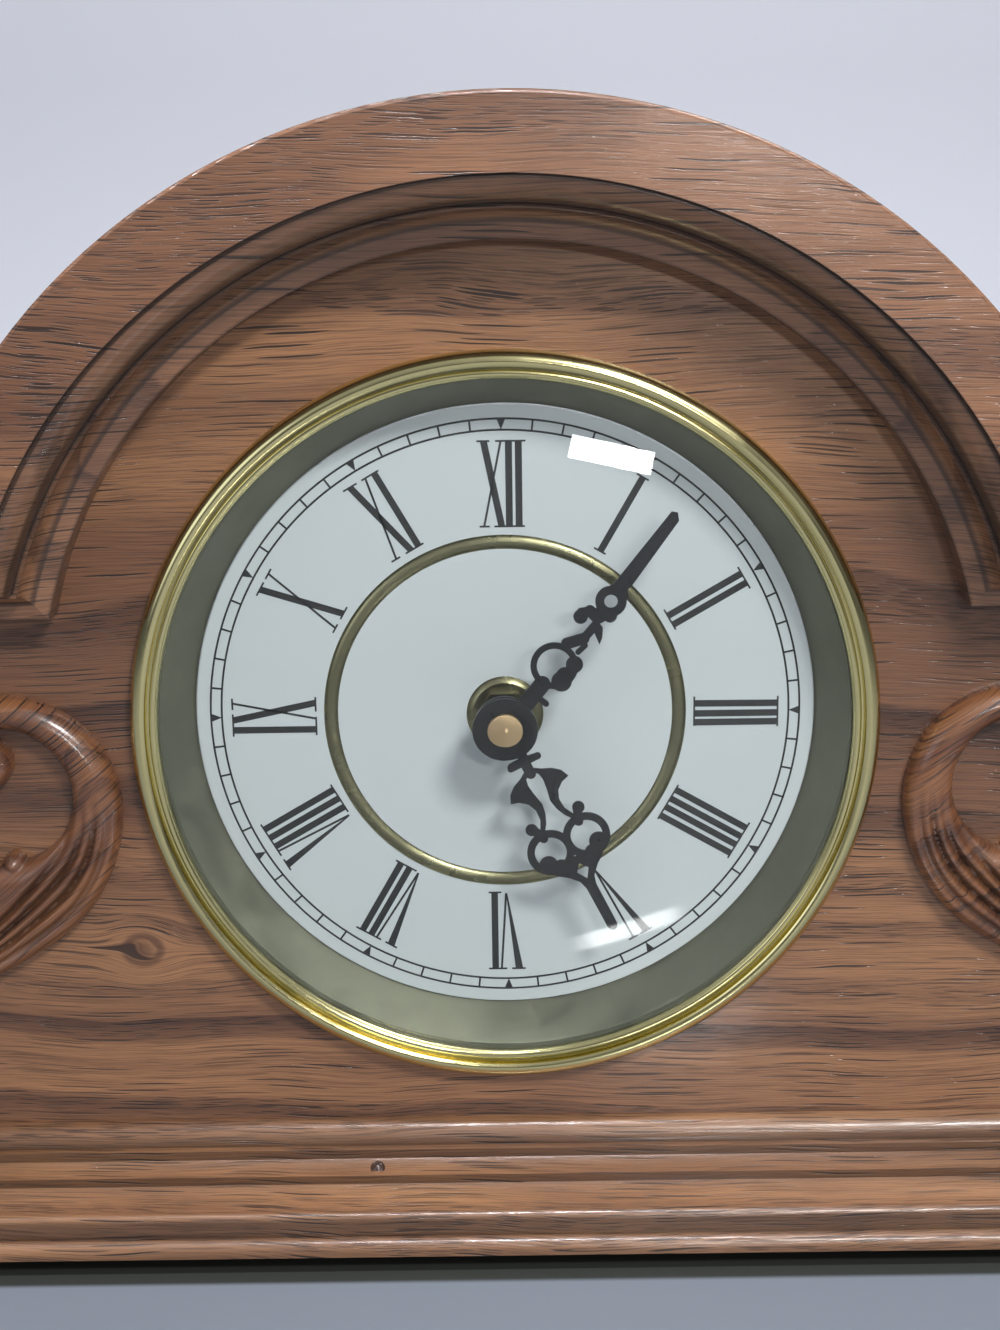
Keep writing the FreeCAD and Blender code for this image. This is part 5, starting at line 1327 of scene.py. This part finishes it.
    def prism(self, corners: Sequence[Point], turn: float, vertices: list[Triple],
              faces: list[Face]) -> None:
        """Adds one stroke of print, turned clockwise about the dial's centre.

        Args:
            corners: the stroke's corners (across, up) before the turn.
            turn: the turn in radians.
            vertices: the print's corners, which are added to.
            faces: the print's faces, which are added to.
        """
        start, count = len(vertices), len(corners)
        for lift in (0.0, self.sizes.thickness):
            for u, w in corners:
                vertices.append((
                    DIAL_CENTRE[0] + u * math.cos(turn) + w * math.sin(turn),
                    DIAL_CENTRE[1] - lift,
                    DIAL_CENTRE[2] - u * math.sin(turn) + w * math.cos(turn)))
        faces.append(tuple(range(start, start + count)))
        faces.append(tuple(reversed(range(start + count, start + count * 2))))
        faces += band(start, start + count, count)

    def track(self, ink: bpy.types.Material) -> bpy.types.Object:
        """Builds the minute track with its node group.

        Args:
            ink: its finish.

        Returns:
            The object.
        """
        across, depth, up = DIAL_CENTRE
        track = MinuteTrack(self.sizes)
        track.build([across * MM, (depth - self.sizes.thickness / 2) * MM, up * MM], ink)
        return track.run("minute_track")


@dataclass(frozen=True)
class SpunRing:
    """A ring spun from sheet, which replaces a CAD node.

    Each place of its section holds the radius, the height over the panel and the bulge of
    the line to the next; turns and steps say how finely the ring and a bulge are drawn.
    """

    name: str
    node: str
    section: tuple[Triple, ...]
    turns: int = 360
    steps: int = 7

    def outline(self) -> list[Point]:
        """Draws the section with each bulge as a curve.

        Returns:
            The radius and height of the points round it.
        """
        points: list[Point] = []
        for index, (radius, height, bulge) in enumerate(self.section):
            after = self.section[(index + 1) % len(self.section)]
            along, up = after[0] - radius, after[1] - height
            count = self.steps if bulge else 1
            for step in range(count):
                share = step / count
                lift = bulge * 4 * share * (1 - share)
                points.append((radius + along * share + up * lift,
                               height + up * share - along * lift))
        return points

    def build(self, material: bpy.types.Material) -> bpy.types.Object:
        """Builds the ring about the dial's axis.

        Args:
            material: its finish.

        Returns:
            The object.
        """
        outline = self.outline()
        count = len(outline)
        vertices: list[Triple] = []
        faces: list[Face] = []
        for turn in range(self.turns):
            angle = math.tau * turn / self.turns
            for radius, height in outline:
                vertices.append((DIAL_CENTRE[0] + radius * math.sin(angle),
                                 PANEL_FRONT - height,
                                 DIAL_CENTRE[2] + radius * math.cos(angle)))
            faces += band(turn * count, (turn + 1) % self.turns * count, count)
        item = mesh_object(self.name, vertices, faces, material, smooth=40.0)
        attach(item, "case")
        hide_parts(self.node)
        return item


class DialMetal(Assembly):
    """The bezel, glass, rings, hands and their fixing."""

    BEZEL = SpunRing("spun_bezel", "bezel", (
        (80.4, 0.0, 0.0), (80.4, 0.8, 0.2), (78.2, 4.1, 0.1), (77.0, 3.7, 0.0),
        (76.75, 1.9, 0.0), (76.3, 1.9, 0.3), (75.2, 2.7, 0.14), (74.7, 2.1, 0.0),
        (74.5, 1.95, 0.0), (74.5, 1.55, 0.0), (75.4, 1.55, 0.0), (75.4, 0.0, 0.0)))
    # Polished after spinning: bright lines of mirror image along each roll.
    BRASS = TurnedMetal("brass_spun_polished_bezel", "#DDD39C", 0.17)
    FINISHES = (
        # Turned and left a little dull, so that it shows grey-green beside the bezel.
        (TurnedMetal("brass_turned_trim_ring", "#827E61", 0.24),
         ("dial_trim_ring", "brass_washer", "mounting_nut")),
        # Satin lines spread the light, and the ring looks even and dark.
        (TurnedMetal("aluminium_spun_satin_gilt_ring", "#787868", 0.5, line_depth=0.01),
         ("reflector_ring",)),
        # Faced in a lathe: a soft warm disc of light.
        (TurnedMetal("brass_faced_cap_nut", "#CDB088", 0.34, line_pitch=0.2,
                     line_depth=0.006), ("cap_nut",)),
        (ClearGlass(), ("glass",)),
        # Stamped and lacquered: near black, with a thin line of light on each edge.
        (Surface("hands_black_lacquered_brass", "#0B0C0F", 0.32, grain_pitch=0.8,
                 grain_depth=0.002), ("hour_hand", "minute_hand")),
        # Zinc over sheet steel gives a cool grey with a faint spangle.
        (Surface("steel_pressed_zinc_plated", "#B4B6B8", 0.32, 1.0, 3.0, 0.002),
         ("dial_pan", "pan_clamps", "clamp_screws", "battery_contacts")),
    )

    def build(self) -> None:
        """Dresses the metal, glass and hands, and builds the bezel."""
        bezel = self.BEZEL.build(self.BRASS.build())
        super().build()


class Movement(Assembly):
    """The quartz movement and what is seen of it through the back."""

    FINISHES = (
        # Moulded with a fine spark-eroded texture, which breaks its shine up.
        (Surface("abs_black_moulded_case", "#1B1C1F", 0.46, grain_pitch=0.35,
                 grain_depth=0.012), ("movement_front_case", "movement_back_cover",
                                      "set_knob")),
        # Natural acetal is a milky white with a waxy gloss.
        (Surface("acetal_white_moulded_wheel", "#E9E7DF", 0.38),
         ("hour_wheel", "minute_wheel", "centre_wheel", "third_wheel", "seconds_wheel",
          "fifth_wheel", "rotor", "middle_plate")),
        # Cut from sheet: dull and nearly black.
        (Surface("rubber_black_die_cut", "#191919", 0.85), ("rubber_washer",)),
        # Drawn rod keeps a smooth yellow shine.
        (Surface("brass_drawn_arbor", "#D6BE72", 0.28, 1.0), ("minute_arbor",)),
        # Bare stacked sheets: grey, with a broad highlight.
        (Surface("iron_laminated_stator", "#8D8F92", 0.4, 1.0), ("stator",)),
        # Fine wire side by side glitters, which is drawn as a coarser grain of 0.3 mm.
        (Surface("copper_enamelled_winding", "#B5653A", 0.3, 1.0, 0.3, 0.03), ("coil",)),
        # A mask of green lacquer over glass cloth, smooth and glossy.
        (Surface("glass_epoxy_green_mask", "#1F5A3A", 0.35, gloss=0.4), ("circuit_board",)),
        # Shrunk film: a tight glossy skin.
        (Surface("cell_printed_film_jacket", "#3B4C63", 0.3, gloss=0.4), ("battery",)),
    )


class BackFittings(Assembly):
    """The brass and steel fittings on the back."""

    FINISHES = (
        # Stamped leaves under lacquer: yellow, with broad soft highlights.
        (Surface("brass_stamped_lacquered_leaf", "#D2B25E", 0.28, 1.0, 2.0, 0.003),
         ("hinge_leaves_fixed", "hinge_leaves_door", "hinge_pins", "door_knob")),
        # Barrel-plated zinc: a bright cool grey.
        (Surface("steel_zinc_plated_screw", "#A9ABAD", 0.3, 1.0),
         ("hinge_screws_fixed", "hinge_screws_door", "back_screws", "door_strike")),
        # Moulded nylon is a little waxy.
        (Surface("nylon_brown_catch", "#4A3324", 0.5), ("door_catch",)),
    )


@dataclass(frozen=True)
class Lamp:
    """A rectangular lamp, in metres, watts and degrees, which the camera doesn't see."""

    name: str
    place: Triple
    aim: Triple
    size: Point
    power: float
    hue: str = "#FFFFFF"
    roll: float = 0.0
    soft: bool = True
    glossy_only: bool = False

    def build(self) -> None:
        """Hangs the lamp."""
        data = bpy.data.lights.new(self.name, "AREA")
        data.shape = "RECTANGLE"
        data.size, data.size_y = self.size
        data.energy = self.power
        data.color = colour(self.hue)[:3]
        if self.soft:
            self.soften(data)
        item = bpy.data.objects.new(self.name, data)
        item.location = self.place
        facing = (Vector(self.aim) - Vector(self.place)).to_track_quat("-Z", "Y")
        roll = Quaternion((0.0, 0.0, 1.0), math.radians(self.roll))
        item.rotation_euler = (facing @ roll).to_euler()
        item.visible_camera = False
        item.visible_diffuse = not self.glossy_only
        bpy.context.scene.collection.objects.link(item)

    @staticmethod
    def soften(data: bpy.types.Light) -> None:
        """Lets the light fade towards the lamp's edges, as a cloth softbox does.

        Args:
            data: the lamp's light.
        """
        data.use_nodes = True
        graph = Graph(data.node_tree)
        place = graph.add("NewGeometry").outputs["Parametric"]
        shares = []
        for part in graph.add("SeparateXYZ", place).outputs[:2]:
            offset = graph.out("Math ABSOLUTE", graph.out("Math SUBTRACT", part, 0.5))
            shares.append(graph.out(EASED, offset, 0.22, 0.5, 1.0, 0.0))
        glow = graph.out("Emission", {"Strength": graph.out("Math MULTIPLY", *shares)})
        graph.add("OutputLight", glow)


class Studio:
    """The camera, the pale sweep that the clock stands on, and its soft lamps."""

    # The camera's turn in radians and the dial centre's place in its view, fitted to the
    # photograph; its lens and sensor; and the distance in metres from which it sees.
    PITCH, YAW, ROLL = 0.2319452, 0.0040673, -0.0150135
    OFFSET = (1.10968, 10.71671, 398.48115)
    LENS, SENSOR, CLIP = 48.722, 36.0, 0.01
    # The sweep: half its width, how far it comes forward and runs back, the bend up to the
    # backdrop with the number of its steps, and the backdrop's top.
    HALF_WIDTH, FORWARD, BACK, BEND, STEPS, TOP = 3000.0, 900.0, 300.0, 300.0, 12, 1500.0
    # The depths over which its tone changes from the table's to the backdrop's, and to the
    # pale part near the camera.
    FAR_SPAN, NEAR_SPAN = (-20.0, 250.0), (-70.0, -210.0)
    # The painted shadow under the clock: how its edge fades in from the front and from the
    # sides, and the depth at which it ends.
    SHADE_FRONT, SHADE_SIDE, SHADE_BACK = (-54.5, -52.5), (214.0, 208.0), 50.0
    LAMPS = (
        Lamp("key_softbox", (0.3, -0.62, 0.72), (0.0, 0.0, 0.1), (0.3, 0.18), 10.4),
        Lamp("fill_softbox", (-0.75, -0.75, 0.45), (0.0, 0.0, 0.1), (0.7, 0.7), 2.2,
             "#EEF3FF"),
        Lamp("ceiling_softbox", (0.03, -0.21, 1.5), (0.0, -0.04, 0.0), (0.4, 0.14), 30.0,
             "#F6F7FF"),
        Lamp("glint_high", (0.158, -0.700, 0.338), (0.02, -0.03, 0.17), (0.125, 0.034), 0.9,
             roll=-15.0, soft=False),
        Lamp("glint_low", (0.045, -0.108, 0.010), (0.035, -0.030, 0.062), (0.052, 0.0085),
             0.018, roll=16.0, glossy_only=True),
    )

    def camera(self) -> None:
        """Sets the camera to the photograph's view."""
        base = Matrix(((1, 0, 0), (0, 0, -1), (0, 1, 0)))
        turn = (Matrix.Rotation(self.ROLL, 3, "Z") @ Matrix.Rotation(self.PITCH, 3, "X")
                @ Matrix.Rotation(self.YAW, 3, "Y") @ base)
        place = Vector(DIAL_CENTRE) - turn.transposed() @ Vector(self.OFFSET)
        axes = Matrix((turn[0], -turn[1], -turn[2])).transposed().to_4x4()
        data = bpy.data.cameras.new("camera")
        data.lens = self.LENS
        data.sensor_width = self.SENSOR
        data.clip_start = self.CLIP
        view = bpy.data.objects.new("camera", data)
        view.matrix_world = Matrix.Translation(place * MM) @ axes
        bpy.context.scene.collection.objects.link(view)
        bpy.context.scene.camera = view

    def paper(self) -> bpy.types.Material:
        """Builds the sweep's finish: matt paper, which mirrors the lamps only as a haze.

        Returns:
            The material.
        """
        graph = MaterialGraph("paper_sweep_pale_grey")
        across, depth, _ = graph.add("SeparateXYZ", graph.place()).outputs
        shade = graph.out("Mix RGBA", graph.out("MapRange", depth, *self.FAR_SPAN),
                          colour("#727982"), colour("#C9CBD1"))
        # Towards the camera the table is pale, which the bezel and the lacquer mirror.
        shade = graph.out("Mix RGBA", graph.out(EASED, depth, *self.NEAR_SPAN), shade,
                          colour("#86888A"))
        # Close under the clock a painted shadow darkens the paper.
        under = graph.out("Math MULTIPLY", graph.out(EASED, depth, *self.SHADE_FRONT),
                          graph.out("Math LESS_THAN", depth, self.SHADE_BACK))
        inside = graph.out("MapRange", graph.out("Math ABSOLUTE", across), *self.SHADE_SIDE)
        under = graph.out("Math MULTIPLY", under, inside)
        shade = graph.out("Mix RGBA", under, shade, colour("#2A2C28"))
        front = graph.out("BsdfPrincipled", {"Base Color": shade, "Roughness": 0.6})
        # Seen from its back the paper is clear, so the clock can be looked at all round.
        back = graph.out("BsdfTransparent")
        side = graph.add("NewGeometry").outputs["Backfacing"]
        return graph.finish(graph.out("MixShader", side, front, back))

    def sweep(self) -> None:
        """Builds the paper sweep: a floor that curves up into a backdrop."""
        line = [(-self.FORWARD, 0.0), (self.BACK, 0.0)]
        for step in range(1, self.STEPS + 1):
            angle = math.pi / 2 * step / self.STEPS
            line.append((self.BACK + self.BEND * math.sin(angle),
                         self.BEND * (1 - math.cos(angle))))
        line.append((self.BACK + self.BEND, self.TOP))
        vertices = [(x, y, z) for y, z in line for x in (-self.HALF_WIDTH, self.HALF_WIDTH)]
        faces = [(i * 2, i * 2 + 1, i * 2 + 3, i * 2 + 2) for i in range(len(line) - 1)]
        item = mesh_object("paper_sweep", vertices, faces, self.paper(), smooth=60.0)
        if item.data.polygons[0].normal.z < 0:
            item.data.flip_normals()

    def world(self) -> None:
        """Sets the room's pale, even light."""
        world = bpy.data.worlds.new("room")
        world.use_nodes = True
        graph = Graph(world.node_tree)
        place = graph.add("TexCoord").outputs["Generated"]
        height = graph.add("SeparateXYZ", place).outputs[2]
        sky = graph.out("ValToRGB", {0: height}, stops=(
            (0.0, colour("#6A6D75")), (0.9, colour("#E6E9F0"))))
        room = graph.out("Background", {0: sky, 1: 0.55})
        # Where the paper ends, the room looks as pale as the paper.
        pale = graph.out("Background", {0: colour("#C9CCD5")})
        path = graph.add("LightPath").outputs
        seen = graph.out("Math MAXIMUM", path["Is Camera Ray"], path["Is Transmission Ray"])
        choice = graph.out("MixShader", seen, room, pale)
        graph.add("OutputWorld", choice)
        bpy.context.scene.world = world

    def build(self) -> None:
        """Sets up the whole studio."""
        self.camera()
        self.sweep()
        for lamp in self.LAMPS:
            lamp.build()
        self.world()
        bpy.context.scene.view_settings.view_transform = "Standard"


def main() -> None:
    """Loads the frame, builds each sub-assembly and the studio, and finishes the model."""
    logging.basicConfig(level=logging.INFO, format="%(name)s: %(message)s")
    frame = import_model()
    clock = Clock(frame)
    for assembly in (OakCase, Carving, PrintedDial, DialMetal, Movement, BackFittings):
        assembly(clock).build()
    Studio().build()
    left = set(clock.nodes) - clock.dressed - {"scroll_right", "scroll_left", "bezel"}
    log.info("nodes left in their CAD finish: %s", sorted(left))


if __name__ == "__main__":
    main()
